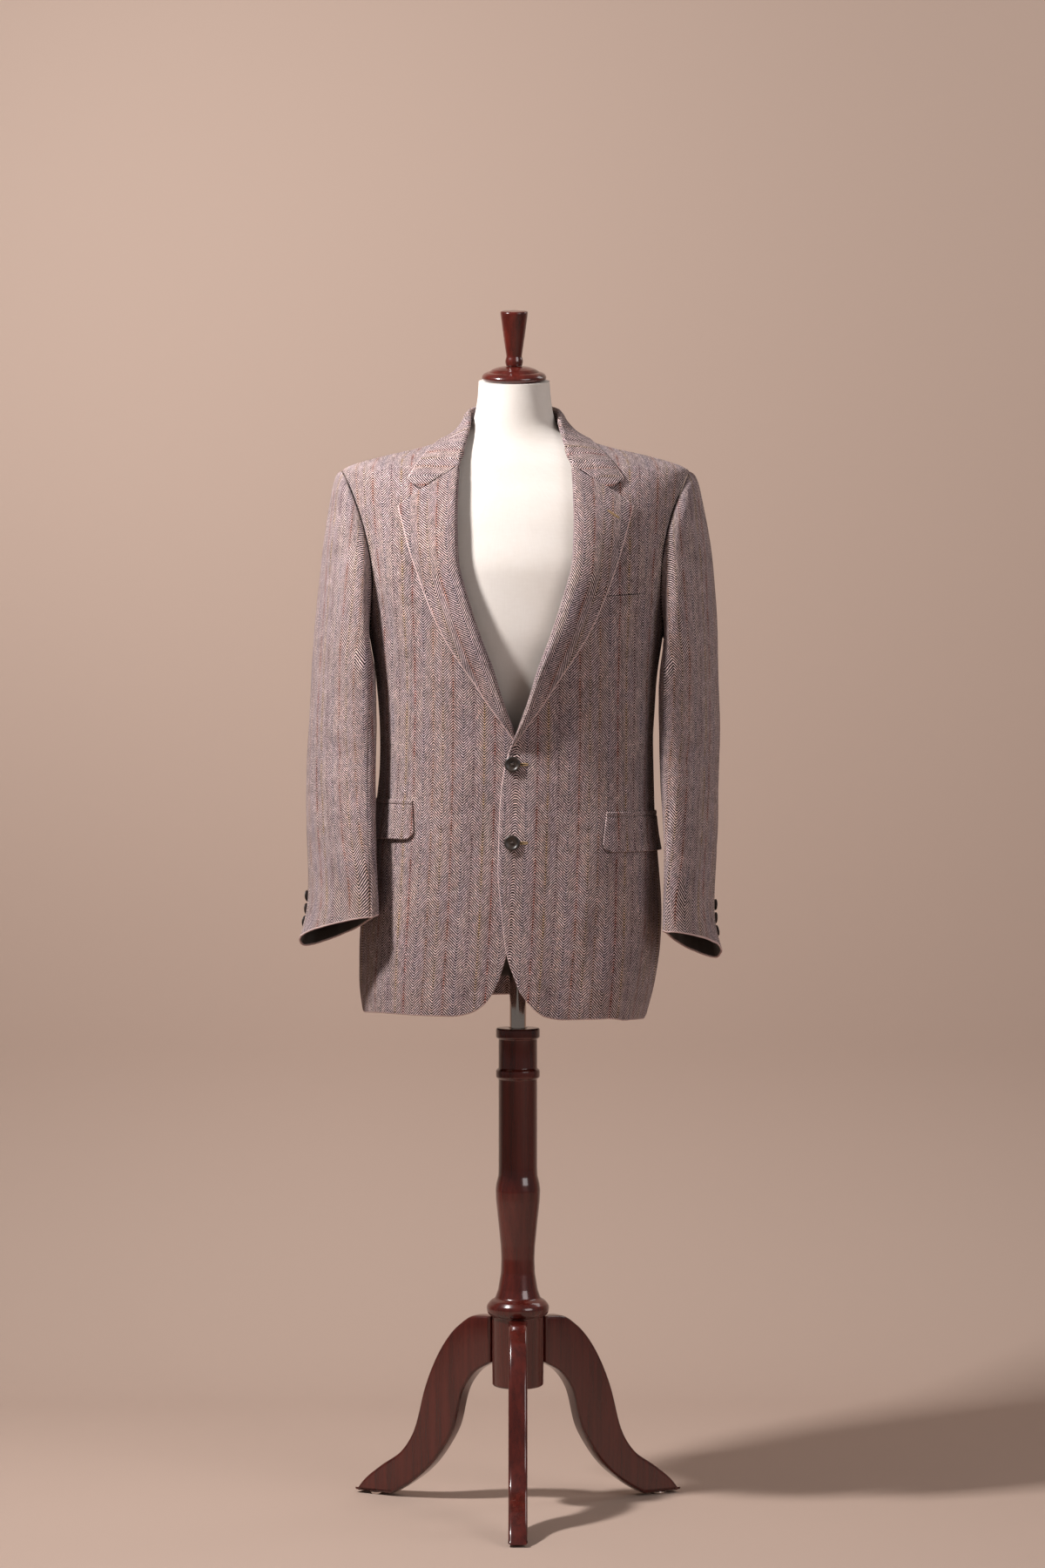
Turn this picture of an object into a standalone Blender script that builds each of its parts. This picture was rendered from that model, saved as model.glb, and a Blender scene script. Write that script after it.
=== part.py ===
"""Single-breasted herringbone tweed jacket on a limbless dress form with a turned tripod stand.

Metres, +Z up, the jacket faces -Y. Left and right are the wearer's, so left is +X.
Every cloth piece is a thin wall lofted on one body surface: a point of it is named by its turn
(quarter turns round from centre front, positive to the wearer's left) and its height.
"""
import bpy
import bmesh
import math
import numpy as np

# ---------------------------------------------------------------- driving dimensions
AXIS_X = 0.0098            # the stand's axis, beside and behind the middle of the footprint
AXIS_Y = 0.0527
WALL = 0.0022              # tweed with its canvas
SEAM = 0.0003              # gap between sewn pieces
HALF_SEAM = 0.0002         # each border's share of it, with room for the facets
REST_GAP = 0.0003          # gap between a piece and what carries it
COVER_GAP = 0.0006         # lapels lie this far off the cloth under them
POCKET_GAP = 0.0008        # flaps, jets and lining, so that their facets stay clear
WELT_GAP = 0.0013          # the welt, over the rounder chest
COLLAR_GAP = 0.0012        # the collar, round the hollow of the neck
SLEEVE_SEAM = 0.0009       # each border's share of the gap in a sleeve's seams
SLEEVE_GAP = 0.0025        # least room between a sleeve and the body
LAPEL_WALL = 0.0028        # facing and cloth together
FLAP_WALL = 0.0020
OVERLAP_LIFT = 0.0030      # the left front lies on the right one
OVERLAP_END = 0.047        # x at which the left front is down again
OVERLAP_RAMP = 0.028       # over this width
SIDE_SEAM = 0.84           # quarter turns from centre front
BACK_SEAM = 1.20
NECK_POINT_Z = 1.4175      # where the shoulder seam meets the collar
BACK_NECK_Z = 1.432
ARM_TOP_Z = 1.3695         # armhole: an oval on the body surface round the widest line
ARM_BOTTOM_Z = 1.150
ARM_FRONT = 0.315          # quarter turns that it reaches forwards and backwards
ARM_BACK = 0.275
EDGE_CROWD = 1.15          # how much a front's columns crowd towards its edge
SHOULDER_CROWD = 1.45      # and its rows towards the shoulder
NAPE_CROWD = 1.7           # and a back's rows towards the nape
FORM_COLOUR = (0.78, 0.74, 0.68)
WOOD_COLOUR = (0.16, 0.018, 0.010)
TWEED_COLOUR = (0.36, 0.29, 0.28)
LINING_COLOUR = (0.10, 0.075, 0.05)
HORN_COLOUR = (0.06, 0.04, 0.03)
CHROME_COLOUR = (0.75, 0.75, 0.76)


class Table:
    """Rows of sizes under named columns, read at any value of the first column by a smooth curve."""

    def __init__(self, columns, rows):
        self.columns = columns
        self.rows = np.array(rows, float)

    def at(self, x, column):
        return smooth(self.rows[:, 0], self.rows[:, self.columns.index(column)], x)


def smooth(xs, ys, x):
    """Shape-keeping cubic through the points, flat beyond its ends."""
    x = np.clip(np.asarray(x, float), xs[0], xs[-1])
    width = np.diff(xs)
    rise = np.diff(ys) / width
    slope = np.zeros_like(ys)
    slope[0], slope[-1] = rise[0], rise[-1]
    both = rise[:-1] * rise[1:]
    total = np.where(both > 0, rise[:-1] + rise[1:], 1.0)
    slope[1:-1] = np.where(both > 0, 2 * both / total, 0.0)
    i = np.clip(np.searchsorted(xs, x) - 1, 0, len(xs) - 2)
    t = (x - xs[i]) / width[i]
    return (ys[i] * (1 + 2 * t) * (1 - t) ** 2 + ys[i + 1] * t * t * (3 - 2 * t)
            + width[i] * (slope[i] * t * (1 - t) ** 2 - slope[i + 1] * t * t * (1 - t)))


BODY = Table(("z", "half_width", "front", "back", "middle", "square"), (
    (0.640, 0.184, 0.146, 0.138, -0.0175, 2.30),
    (0.700, 0.195, 0.145, 0.135, -0.0135, 2.30),
    (0.760, 0.198, 0.143, 0.131, -0.0095, 2.30),
    (0.840, 0.192, 0.140, 0.124, -0.0060, 2.35),
    (0.920, 0.184, 0.137, 0.114, -0.0035, 2.40),
    (1.000, 0.180, 0.135, 0.107, -0.0020, 2.40),
    (1.080, 0.184, 0.137, 0.113, -0.0015, 2.35),
    (1.150, 0.193, 0.139, 0.123, -0.0015, 2.30),
    (1.220, 0.206, 0.133, 0.129, -0.0020, 2.25),
    (1.290, 0.218, 0.117, 0.125, -0.0025, 2.20),
    (1.340, 0.2265, 0.098, 0.113, -0.0030, 2.10),
    (1.368, 0.2300, 0.085, 0.099, -0.0030, 1.85),
    (1.375, 0.2220, 0.081, 0.095, -0.0035, 1.72),
    (1.382, 0.2030, 0.077, 0.090, -0.0040, 1.62),
    (1.391, 0.1690, 0.071, 0.084, -0.0040, 1.58),
    (1.400, 0.1290, 0.065, 0.078, -0.0040, 1.66),
    (1.411, 0.0940, 0.060, 0.073, -0.0040, 1.85),
    (1.4225, 0.0750, 0.055, 0.067, -0.0045, 2.00),
    (1.440, 0.0640, 0.051, 0.061, -0.0050, 2.00)))

# Soft ridges (+) and troughs (-) that hang in the cloth: the middle of each, its reach round
# the body and up it, how far it leans round for each metre up, and its height.
FOLDS = (
    # turn, z, reach_turn, reach_z, lean, height
    (-0.50, 1.210, 0.070, 0.060, -0.90, 0.0035),
    (-0.62, 1.160, 0.045, 0.080, -0.60, -0.0030),
    (0.56, 1.170, 0.060, 0.090, 0.70, -0.0030),
    (0.44, 0.700, 0.110, 0.120, 0.15, 0.0045),
    (0.70, 0.690, 0.100, 0.110, -0.10, -0.0035),
    (-0.42, 0.700, 0.120, 0.130, -0.15, 0.0035),
    (-0.72, 0.720, 0.090, 0.120, 0.10, -0.0030),
    (1.30, 0.720, 0.090, 0.160, 0.10, 0.0040),
    (-1.34, 0.730, 0.100, 0.150, -0.10, 0.0040),
    (1.62, 1.020, 0.120, 0.040, 0.90, -0.0030),
    (-1.60, 1.040, 0.120, 0.040, -0.90, -0.0030),
    (1.48, 1.240, 0.050, 0.100, 0.30, 0.0035),
    (-1.48, 1.240, 0.050, 0.100, -0.30, 0.0035))

# Heights of the roll line (where the front turns back into the lapel) and its reach from centre.
ROLL = Table(("z", "reach"), (
    (1.025, 0.0005), (1.070, 0.0165), (1.108, 0.0280), (1.147, 0.0427), (1.200, 0.0600),
    (1.250, 0.0725), (1.305, 0.0745), (1.368, 0.0725), (1.4055, 0.0645)))
MIDDLE_LINE = -0.003       # the opening's middle, across

# Free edge of the turned lapel, from below the opening to its tip, then along the top to the gorge.
LAPEL_EDGE = Table(("z", "reach"), (
    (0.998, -0.0100), (1.020, 0.0065), (1.040, 0.0205), (1.065, 0.0385), (1.092, 0.0560),
    (1.122, 0.0765), (1.152, 0.0945), (1.184, 0.1095), (1.250, 0.1335), (1.290, 0.1450),
    (1.3195, 0.1530)))
ROLL_SETBACK = 0.0008      # how far the front's own edge lies behind the roll
NECK_SETBACK = 0.0040      # and further still where the collar's stand passes it
FRONT_NECKLINE = ((0.50, 1.4035), (0.74, 1.4120), (1.00, NECK_POINT_Z))   # turn and height
BACK_NECKLINE = ((0.72, 1.4220), (0.40, 1.4290), (0.00, BACK_NECK_Z))      # share of half width, height
GORGE = (0.0735, 1.3690)   # reach and height where collar and lapel part at the roll
NOTCH = (0.1225, 1.3408)
LAPEL_TIP = (0.1530, 1.3195)

LAPEL_LOW_LEFT = 0.999     # the left lapel breaks at the first button, the right one above it
LAPEL_LOW_RIGHT = 1.034
LAPEL_LOW_DROP = 0.0100
LAPEL_LOW_WIDTH = 0.0030
LAPEL_BELLY = 0.0042       # how far the soft roll stands off the front

# Half the collar, from centre back (share 0) to the gorge (share 1): the line that it is folded
# over, then the turn round the body and height of its neck seam and of its outer edge.
COLLAR_COLUMNS = ("share", "fold_x", "fold_y", "fold_z", "seam_turn", "seam_z", "edge_turn", "edge_z")
COLLAR = Table(COLLAR_COLUMNS, (
    (0.00, 0.0000, 0.0635, 1.4600, 2.000, 1.4335, 2.000, 1.4060),
    (0.15, 0.0300, 0.0570, 1.4585, 1.660, 1.4310, 1.640, 1.4055),
    (0.30, 0.0510, 0.0370, 1.4540, 1.330, 1.4255, 1.300, 1.4065),
    (0.45, 0.0600, 0.0080, 1.4470, 1.060, 1.4200, 0.990, 1.4093),
    (0.60, 0.0600, -0.0210, 1.4350, 0.760, 1.4150, 0.781, 1.4045),
    (0.75, 0.0655, -0.0480, 1.4100, 0.480, 1.4065, 0.537, 1.3915),
    (0.88, 0.0715, -0.0690, 1.3870, 0.262, 1.3895, 0.412, 1.3738),
    (1.00, 0.0740, -0.0810, 1.3700, 0.212, 1.3715, 0.4216, 1.3560)))
NOTCH_STEP = 0.75          # share of the fall's width at which the collar's end meets the notch
NOTCH_FROM = 0.72          # share of the half collar from which its fall bends towards it
COLLAR_STATIONS = 29
COLLAR_WALL = 0.0022
FOLD_RADIUS = 0.0026       # of the collar's middle layer
FOLD_TURNS = (0.0, 45.0, 90.0, 135.0, 180.0)
FALL_STEPS = (1.0, 0.75, 0.5, 0.25)
STAND_STEPS = (0.4, 0.7, 1.0)
COLLAR_BELLY = 0.0020      # roundness of the fall

# Front edges below the opening, x and z, from the hem up. The left one shows, the right lies under.
EDGE_LEFT = ((0.0587, 0.6555), (0.0374, 0.6590), (0.0200, 0.6700), (0.0026, 0.6915),
             (-0.0098, 0.7240), (-0.0158, 0.7450), (-0.0221, 0.7990), (-0.0261, 0.8520),
             (-0.0244, 0.9170), (-0.0210, 0.9597), (-0.0131, 0.9978), (-0.0035, 1.0200))
EDGE_RIGHT = ((-0.0865, 0.6605), (-0.0613, 0.6650), (-0.0389, 0.6810), (-0.0243, 0.7080),
              (-0.0158, 0.7360), (-0.0080, 0.7700), (-0.0010, 0.8100), (0.0045, 0.8600),
              (0.0075, 0.9200), (0.0065, 0.9700), (0.0020, 1.0080), (-0.0040, 1.0250))
EDGE_CORNER = 3            # the row of each edge where the hem is taken to turn into it
HEM_TURNS = (0.47, 0.60, 0.72, SIDE_SEAM)     # where the hem is read from there to the side seam
OPENING_LEVELS = (1.045, 1.070, 1.108, 1.147, 1.200, 1.250, 1.305, 1.350, 1.370, 1.388)
NECK_SETBACK_FROM = 1.350  # height from which the further setback grows, over this height
NECK_SETBACK_RAMP = 0.020

HEM = Table(("turn", "left_z", "right_z"), (
    (0.20, 0.6555, 0.6615), (0.45, 0.6560, 0.6610), (0.62, 0.6505, 0.6610), (0.84, 0.6490, 0.6575),
    (1.20, 0.6560, 0.6600), (1.60, 0.6650, 0.6660), (2.00, 0.6690, 0.6690)))

# One row for each ring of a sleeve, top to cuff: its outer and inner points seen from the front,
# then its middle and half depth along Y, how far the outer side lies behind the inner one, how
# much its front and back bow towards the body, and how steeply its front is lifted.
SLEEVE_COLUMNS = ("out_x", "out_z", "in_x", "in_z", "mid_y", "deep", "shear", "bow", "pitch")
SLEEVE_RIGHT = (
    (0.2395, 1.3655, 0.1965, 1.1460, 0.001, 0.0690, 0.010, 0.0190, 0.00),
    (0.2475, 1.3400, 0.1935, 1.1380, -0.001, 0.0740, 0.024, 0.0150, 0.00),
    (0.2550, 1.2980, 0.1900, 1.1270, -0.004, 0.0740, 0.036, 0.0100, 0.00),
    (0.2625, 1.2430, 0.1870, 1.1130, -0.007, 0.0690, 0.044, 0.0050, 0.02),
    (0.2690, 1.1800, 0.1850, 1.0960, -0.010, 0.0620, 0.049, 0.0010, 0.04),
    (0.2738, 1.1080, 0.1845, 1.0700, -0.012, 0.0570, 0.051, 0.0, 0.06),
    (0.2775, 1.0430, 0.1845, 1.0320, -0.015, 0.0540, 0.050, 0.0, 0.08),
    (0.2803, 0.9750, 0.1845, 0.9760, -0.023, 0.0510, 0.048, 0.0, 0.12),
    (0.2795, 0.9050, 0.1845, 0.9150, -0.037, 0.0480, 0.046, 0.0, 0.18),
    (0.2758, 0.8420, 0.1830, 0.8560, -0.052, 0.0440, 0.042, 0.0, 0.25),
    (0.2775, 0.7980, 0.1812, 0.8160, -0.063, 0.0400, 0.038, 0.0, 0.31),
    (0.2873, 0.7600, 0.1800, 0.7815, -0.073, 0.0360, 0.035, 0.0, 0.36))
SLEEVE_LEFT = (
    (0.2350, 1.3630, 0.1935, 1.1460, 0.001, 0.0690, 0.010, 0.0190, 0.00),
    (0.2440, 1.3360, 0.1905, 1.1380, -0.001, 0.0740, 0.024, 0.0150, 0.00),
    (0.2530, 1.2940, 0.1880, 1.1270, -0.004, 0.0740, 0.036, 0.0100, 0.00),
    (0.2600, 1.2400, 0.1855, 1.1130, -0.007, 0.0690, 0.044, 0.0050, 0.02),
    (0.2643, 1.1800, 0.1840, 1.0960, -0.010, 0.0620, 0.049, 0.0010, 0.04),
    (0.2665, 1.1080, 0.1835, 1.0700, -0.012, 0.0570, 0.051, 0.0, 0.06),
    (0.2680, 1.0430, 0.1840, 1.0320, -0.015, 0.0540, 0.050, 0.0, 0.08),
    (0.2665, 0.9750, 0.1850, 0.9760, -0.023, 0.0520, 0.048, 0.0, 0.12),
    (0.2640, 0.9020, 0.1875, 0.9120, -0.037, 0.0500, 0.044, 0.0, 0.18),
    (0.2588, 0.8300, 0.1893, 0.8450, -0.050, 0.0470, 0.040, 0.0, 0.25),
    (0.2590, 0.7850, 0.1885, 0.8020, -0.059, 0.0450, 0.036, 0.0, 0.30),
    (0.2680, 0.7440, 0.1870, 0.7620, -0.066, 0.0430, 0.033, 0.0, 0.34))

EVEN_RING = 5              # the sleeve ring from which the points are evenly spread
UNDER_SLEEVE_TO = 3        # steps past the underarm arc at which the under sleeve ends

# Steps round the armhole and the sleeve: front arc, underarm arc, back arc.
FRONT_ARC = 8
UNDER_ARC = 4
BACK_ARC = 8
SIDE_ROWS = 10             # rows of cloth from the hem to the underarm

# The dress form under the jacket. Its shoulders follow the jacket's, just below the cloth.
FORM = Table(("z", "half_width", "front", "back", "middle", "square"), (
    (0.790, 0.148, 0.104, 0.102, 0.0, 2.2),
    (0.800, 0.153, 0.108, 0.106, 0.0, 2.2),
    (0.860, 0.163, 0.116, 0.112, 0.0, 2.2),
    (0.930, 0.156, 0.112, 0.100, 0.0, 2.2),
    (1.000, 0.148, 0.106, 0.090, 0.0, 2.2),
    (1.080, 0.156, 0.113, 0.094, -0.0005, 2.2),
    (1.160, 0.167, 0.123, 0.104, -0.0015, 2.2),
    (1.230, 0.175, 0.122, 0.109, -0.0020, 2.2),
    (1.290, 0.181, 0.107, 0.105, -0.0025, 2.2),
    (1.330, 0.184, 0.091, 0.094, -0.0030, 2.2),
    (1.352, 0.184, 0.079, 0.084, -0.0030, 2.2),
    (1.3650, 0.1810, 0.073, 0.079, -0.0035, 2.10),
    (1.3765, 0.1740, 0.068, 0.075, -0.0040, 2.00),
    (1.3872, 0.1580, 0.062, 0.069, -0.0040, 1.90),
    (1.3972, 0.1230, 0.057, 0.064, -0.0040, 1.90),
    (1.4080, 0.0890, 0.052, 0.060, -0.0040, 1.95),
    (1.4190, 0.0675, 0.049, 0.056, -0.0045, 2.00),
    (1.4310, 0.0560, 0.0475, 0.053, -0.0050, 2.00),
    (1.4500, 0.0508, 0.0470, 0.0505, -0.0050, 2.00),
    (1.4700, 0.0480, 0.0465, 0.0480, -0.0048, 2.00),
    (1.4885, 0.0468, 0.0460, 0.0468, -0.0050, 2.00)))
NECK_X = -0.0050           # the neck leans a little to the wearer's right
NECK_TOP_Z = 1.4885        # middle of its top, which slopes down to the front
NECK_TILT = 10.0           # degrees that the top, its cap and the finial lean forwards
NECK_SLOPE_FROM = 1.450    # height at which the rings begin to slope

# Turned profiles, radius and height, from the top of the outer side down. The first two stand on
# the sloping top of the neck.
NECK_CAP = ((0.0110, 0.0198), (0.0200, 0.0185), (0.0280, 0.0160), (0.0325, 0.0132), (0.0335, 0.0121),
            (0.0365, 0.0116), (0.0400, 0.0097), (0.0424, 0.0068), (0.0428, 0.0048), (0.0415, 0.0020),
            (0.0390, 0.0003))
FINIAL = ((0.0165, 0.0926), (0.0182, 0.0912), (0.0180, 0.0880), (0.0142, 0.0600), (0.0108, 0.0370),
          (0.0102, 0.0328), (0.0114, 0.0290), (0.0118, 0.0262), (0.0114, 0.0232), (0.0106, 0.0202))
ROD_RADIUS = 0.0110
ROD_TOP = 0.7700
ROD_BOTTOM = 0.3000
BORE_RADIUS = 0.01145
SOCKET = ((0.0450, 0.7897), (0.0450, 0.7840), (0.0430, 0.7830), (0.0220, 0.7800), (0.0190, 0.7780),
          (0.0190, 0.7450), (0.0175, 0.7435))
SOCKET_TOP = 0.7703        # end of the blind hole that the rod stands in
COLUMN = ((0.0275, 0.6350), (0.0290, 0.6335), (0.0290, 0.6230), (0.0275, 0.6215), (0.0256, 0.6205),
          (0.0256, 0.5820), (0.0275, 0.5805), (0.0290, 0.5790), (0.0290, 0.5705), (0.0275, 0.5690),
          (0.0256, 0.5675), (0.0256, 0.4500), (0.0260, 0.4400), (0.0285, 0.4300), (0.0296, 0.4210),
          (0.0290, 0.4080), (0.0255, 0.3750), (0.0228, 0.3480), (0.0220, 0.3310), (0.0226, 0.3120),
          (0.0262, 0.2900), (0.0300, 0.2790), (0.0360, 0.2755), (0.0405, 0.2700), (0.0415, 0.2660),
          (0.0405, 0.2600), (0.0370, 0.2560), (0.0340, 0.2545), (0.0340, 0.1650), (0.0315, 0.1625))
LEG_OUTER = ((0.0346, 0.2530), (0.0600, 0.2520), (0.0860, 0.2370), (0.1080, 0.2120), (0.1260, 0.1800),
             (0.1380, 0.1500), (0.1550, 0.0920), (0.1750, 0.0620), (0.2080, 0.0390), (0.2330, 0.0190),
             (0.2460, 0.0034))
LEG_INNER = ((0.1900, 0.0034), (0.1650, 0.0180), (0.1320, 0.0440), (0.1080, 0.0740), (0.0920, 0.1030),
             (0.0790, 0.1500), (0.0600, 0.1770), (0.0346, 0.1920))
LEG_OUTER_POINTS = 15
LEG_INNER_POINTS = 11
LEG_THICK = 0.0245
LEG_BEVEL = 0.0035
LEG_TURNS = {"leg_front": -90, "leg_left": 30, "leg_right": 150}
GLIDE_RADIUS = 0.0100
GLIDE_REACH = 0.2180
GLIDE_HEIGHT = 0.0030

# Where the flaps start, how far they run back round the body, and their heights at the front end.
FLAP = Table(("side", "front_x", "top_z", "bottom_z"), (
    (-1.0, 0.1360, 0.9325, 0.8870), (1.0, 0.1130, 0.9167, 0.8710)))
FLAP_LENGTH = 0.150
FLAP_SLANT = 0.012         # how far the bottom edge is set back at the front end
FLAP_ROUND = 0.009         # how far the flap's lower corners are rounded up
FLAP_STAND = 0.0020        # how far its lower edge stands off
JET_WALL = 0.0016
JET_HEIGHT = 0.0055
WELT = ((0.1045, 1.1700), (0.1620, 1.1780), (0.1150, 1.2005), (0.1605, 1.2050))  # x, z of its corners
FRONT_BUTTONS = ((-0.0070, 0.9850), (-0.0075, 0.8840))
FRONT_BUTTON_RADIUS = 0.0103
CUFF_BUTTON_RADIUS = 0.0075
CUFF_BUTTON_ROW = (1.57, 1.20, 0.81)    # ring spacings up from the cuff
CUFF_BUTTON_LOOP = 0.035                # turns round the sleeve behind the outermost line
BUTTON_SEAT = 0.0006                    # the thread shank's height
# Half section of a four-hole horn button with a raised rim, from its face down to its underside.
BUTTON = ((0.0060, 0.0026), (0.0072, 0.0036), (0.0088, 0.0040), (0.0100, 0.0034), (0.0103, 0.0024),
          (0.0096, 0.0008), (0.0075, 0.0))
LINING_ROWS = (0.38, 1.0, 1.6)     # the rows of the backs between which the lining strip lies
LINING_WALL = 0.0010
FORM_SEGMENTS = 28
WOOD_SEGMENTS = 26
FINIAL_SEGMENTS = 20

COLLECTION = bpy.data.collections.new("tweed_jacket_on_stand")


def clear_scene():
    for piece in list(bpy.data.objects):
        bpy.data.objects.remove(piece, do_unlink=True)
    bpy.context.scene.collection.children.link(COLLECTION)


def finish(name, colour, roughness, metallic=0.0):
    surface = bpy.data.materials.new(name)
    surface.use_nodes = True
    shader = surface.node_tree.nodes["Principled BSDF"]
    shader.inputs["Base Color"].default_value = (*colour, 1.0)
    shader.inputs["Roughness"].default_value = roughness
    shader.inputs["Metallic"].default_value = metallic
    return surface


def add_piece(name, mesh, surface, parent, place=(0.0, 0.0, 0.0), turn=(0.0, 0.0, 0.0)):
    piece = bpy.data.objects.new(name, mesh)
    mesh.materials.append(surface)
    piece.parent = parent
    piece.location = place
    piece.rotation_euler = turn
    COLLECTION.objects.link(piece)
    return piece


# ---------------------------------------------------------------- the body surface
def body_ring(table, turn, z):
    """Point of a ring table's surface, before folds."""
    angle = np.asarray(turn, float) * math.pi / 2
    square = table.at(z, "square")
    across, along = np.sin(angle), np.cos(angle)
    reach = (np.abs(across) ** square + np.abs(along) ** square) ** (-1 / square)
    depth = np.where(along > 0, table.at(z, "front"), table.at(z, "back"))
    x = table.at(z, "middle") + table.at(z, "half_width") * reach * across
    y = -depth * reach * along
    return np.stack(np.broadcast_arrays(x, y, z), -1)


def normal_of(table, turn, z):
    """Outward direction of a ring table's surface."""
    step_turn, step_z = 0.0015, 0.0006
    round_it = body_ring(table, turn + step_turn, z) - body_ring(table, turn - step_turn, z)
    up_it = body_ring(table, turn, z + step_z) - body_ring(table, turn, z - step_z)
    outward = np.cross(round_it, up_it)
    return outward / np.linalg.norm(outward, axis=-1, keepdims=True)


def fold_height(turn, z):
    """Height of the hanging folds at a place on the jacket."""
    turn, z = np.broadcast_arrays(np.asarray(turn, float), np.asarray(z, float))
    height = np.zeros_like(turn)
    for middle, level, reach_turn, reach_z, lean, rise in FOLDS:
        off_turn = turn - middle - lean * (z - level)
        height += rise * np.exp(-(off_turn / reach_turn) ** 2 - ((z - level) / reach_z) ** 2)
    return height


def cloth(turn, z, out=0.0):
    """Point of the jacket's outer face, moved out by a distance, and its outward direction."""
    outward = normal_of(BODY, turn, z)
    rise = np.asarray(fold_height(turn, z) + out)
    return body_ring(BODY, turn, z) + outward * rise[..., None], outward


def turn_at(x, z):
    """Turn of the front point that lies at x, seen from the front."""
    square = BODY.at(z, "square")
    share = (np.asarray(x, float) - BODY.at(z, "middle")) / BODY.at(z, "half_width")
    share = np.clip(share, -0.99999, 0.99999)
    small = np.maximum(np.abs(share), 1e-9)
    along = np.maximum(small ** -square - 1, 0.0) ** (1 / square)
    return np.sign(share) * np.arctan2(1.0, along) * 2 / math.pi


def crowded(count, start=1.0, end=1.0):
    """Shares from 0 to 1, closer together at the start or the end for a power over 1 there."""
    even = np.linspace(0, 1, count)
    return 1 - (1 - even ** start) ** end


def path(points, count, start=1.0, end=1.0):
    """Points on a smooth line, spread by its length as crowded() says."""
    points = np.array(points, float)
    steps = np.linalg.norm(np.diff(points, axis=0), axis=1)
    along = np.concatenate([[0.0], np.cumsum(steps)])
    at = along[-1] * crowded(count, start, end)
    return np.stack([smooth(along, points[:, k], at) for k in range(points.shape[1])], -1)


def coons(left, bottom, right, top):
    """Grid of flat pattern points spanned by four border lines."""
    rows, columns = len(left), len(bottom)
    v = np.linspace(0, 1, rows)[:, None, None]
    u = np.linspace(0, 1, columns)[None, :, None]
    return ((1 - u) * left[:, None] + u * right[:, None] + (1 - v) * bottom[None] + v * top[None]
            - (1 - u) * (1 - v) * bottom[0] - u * (1 - v) * bottom[-1]
            - (1 - u) * v * top[0] - u * v * top[-1])


def wall(name, outer, outward, thick, surface, parent):
    """Closed wall: an outer grid of points, an inner one set in by the thickness, joined at the rim."""
    rows, columns = outer.shape[:2]
    inner = outer - outward * thick
    points = np.concatenate([outer.reshape(-1, 3), inner.reshape(-1, 3)])
    first_inner = rows * columns

    def corner(i, j, layer):
        return layer * first_inner + i * columns + j

    faces = []
    for i in range(rows - 1):
        for j in range(columns - 1):
            square = ((i, j), (i, j + 1), (i + 1, j + 1), (i + 1, j))
            faces.append([corner(a, b, 0) for a, b in square])
            faces.append([corner(a, b, 1) for a, b in reversed(square)])
    rim = [(0, j) for j in range(columns)] + [(i, columns - 1) for i in range(1, rows)]
    rim += [(rows - 1, j) for j in range(columns - 2, -1, -1)] + [(i, 0) for i in range(rows - 2, 0, -1)]
    for (a, b), (c, d) in zip(rim, rim[1:] + rim[:1]):
        faces.append([corner(a, b, 0), corner(a, b, 1), corner(c, d, 1), corner(c, d, 0)])
    return add_mesh(name, points, faces, surface, parent)


def add_mesh(name, points, faces, surface, parent):
    mesh = bpy.data.meshes.new(name)
    shape = bmesh.new()
    corners = [shape.verts.new(p) for p in points]
    for face in faces:
        shape.faces.new([corners[k] for k in face])
    bmesh.ops.recalc_face_normals(shape, faces=shape.faces)
    shape.to_mesh(mesh)
    shape.free()
    mesh.shade_smooth()
    mesh.set_sharp_from_angle(angle=math.radians(40))
    return add_piece(name, mesh, surface, parent)


# ---------------------------------------------------------------- the flat pattern's lines
# A pattern point is (s, z): s is the half width times the turn, counted from centre front (front
# and side pieces) or from centre back (backs). It is close to the cloth's own flat measure.
def half_width(z):
    return BODY.at(z, "half_width")


def front_pattern(x, z, side):
    """Pattern points of places seen from the front, for one side."""
    x, z = np.asarray(x, float), np.asarray(z, float)
    return np.stack([side * turn_at(x, z) * half_width(z), z], -1)


def armhole(loop):
    """Turn from the front and height at loop turns round the armhole: 0 top, 0.25 front, 0.5 under."""
    angle = np.asarray(loop, float) * 2 * math.pi
    reach = np.where(np.sin(angle) > 0, ARM_FRONT, ARM_BACK)
    middle = (ARM_TOP_Z + ARM_BOTTOM_Z) / 2
    z = middle + (ARM_TOP_Z - ARM_BOTTOM_Z) / 2 * np.cos(angle)
    return 1 - reach * np.sin(angle), z


def loop_at(turn):
    """Loop turn of the lower armhole point that lies on a seam."""
    reach = ARM_FRONT if turn < 1 else ARM_BACK
    share = math.asin(abs(1 - turn) / reach) / (2 * math.pi)
    return 0.5 - share if turn < 1 else 0.5 + share


def arm_loops():
    """Loop turns at which the armhole is stepped, from the top round by the front."""
    fore, hind = loop_at(SIDE_SEAM), loop_at(BACK_SEAM)
    front = np.linspace(0, fore, FRONT_ARC + 1)
    under = np.linspace(fore, hind, UNDER_ARC + 1)
    back = np.linspace(hind, 1, BACK_ARC + 1)
    return front, under, back


def hem_z(turn, side):
    return HEM.at(turn, "left_z" if side > 0 else "right_z")


def seam_line(turn, side):
    """Heights of a seam that runs up the body from the hem to the armhole."""
    top = armhole(loop_at(turn))[1]
    return np.linspace(hem_z(turn, side), top, SIDE_ROWS + 1)


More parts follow.
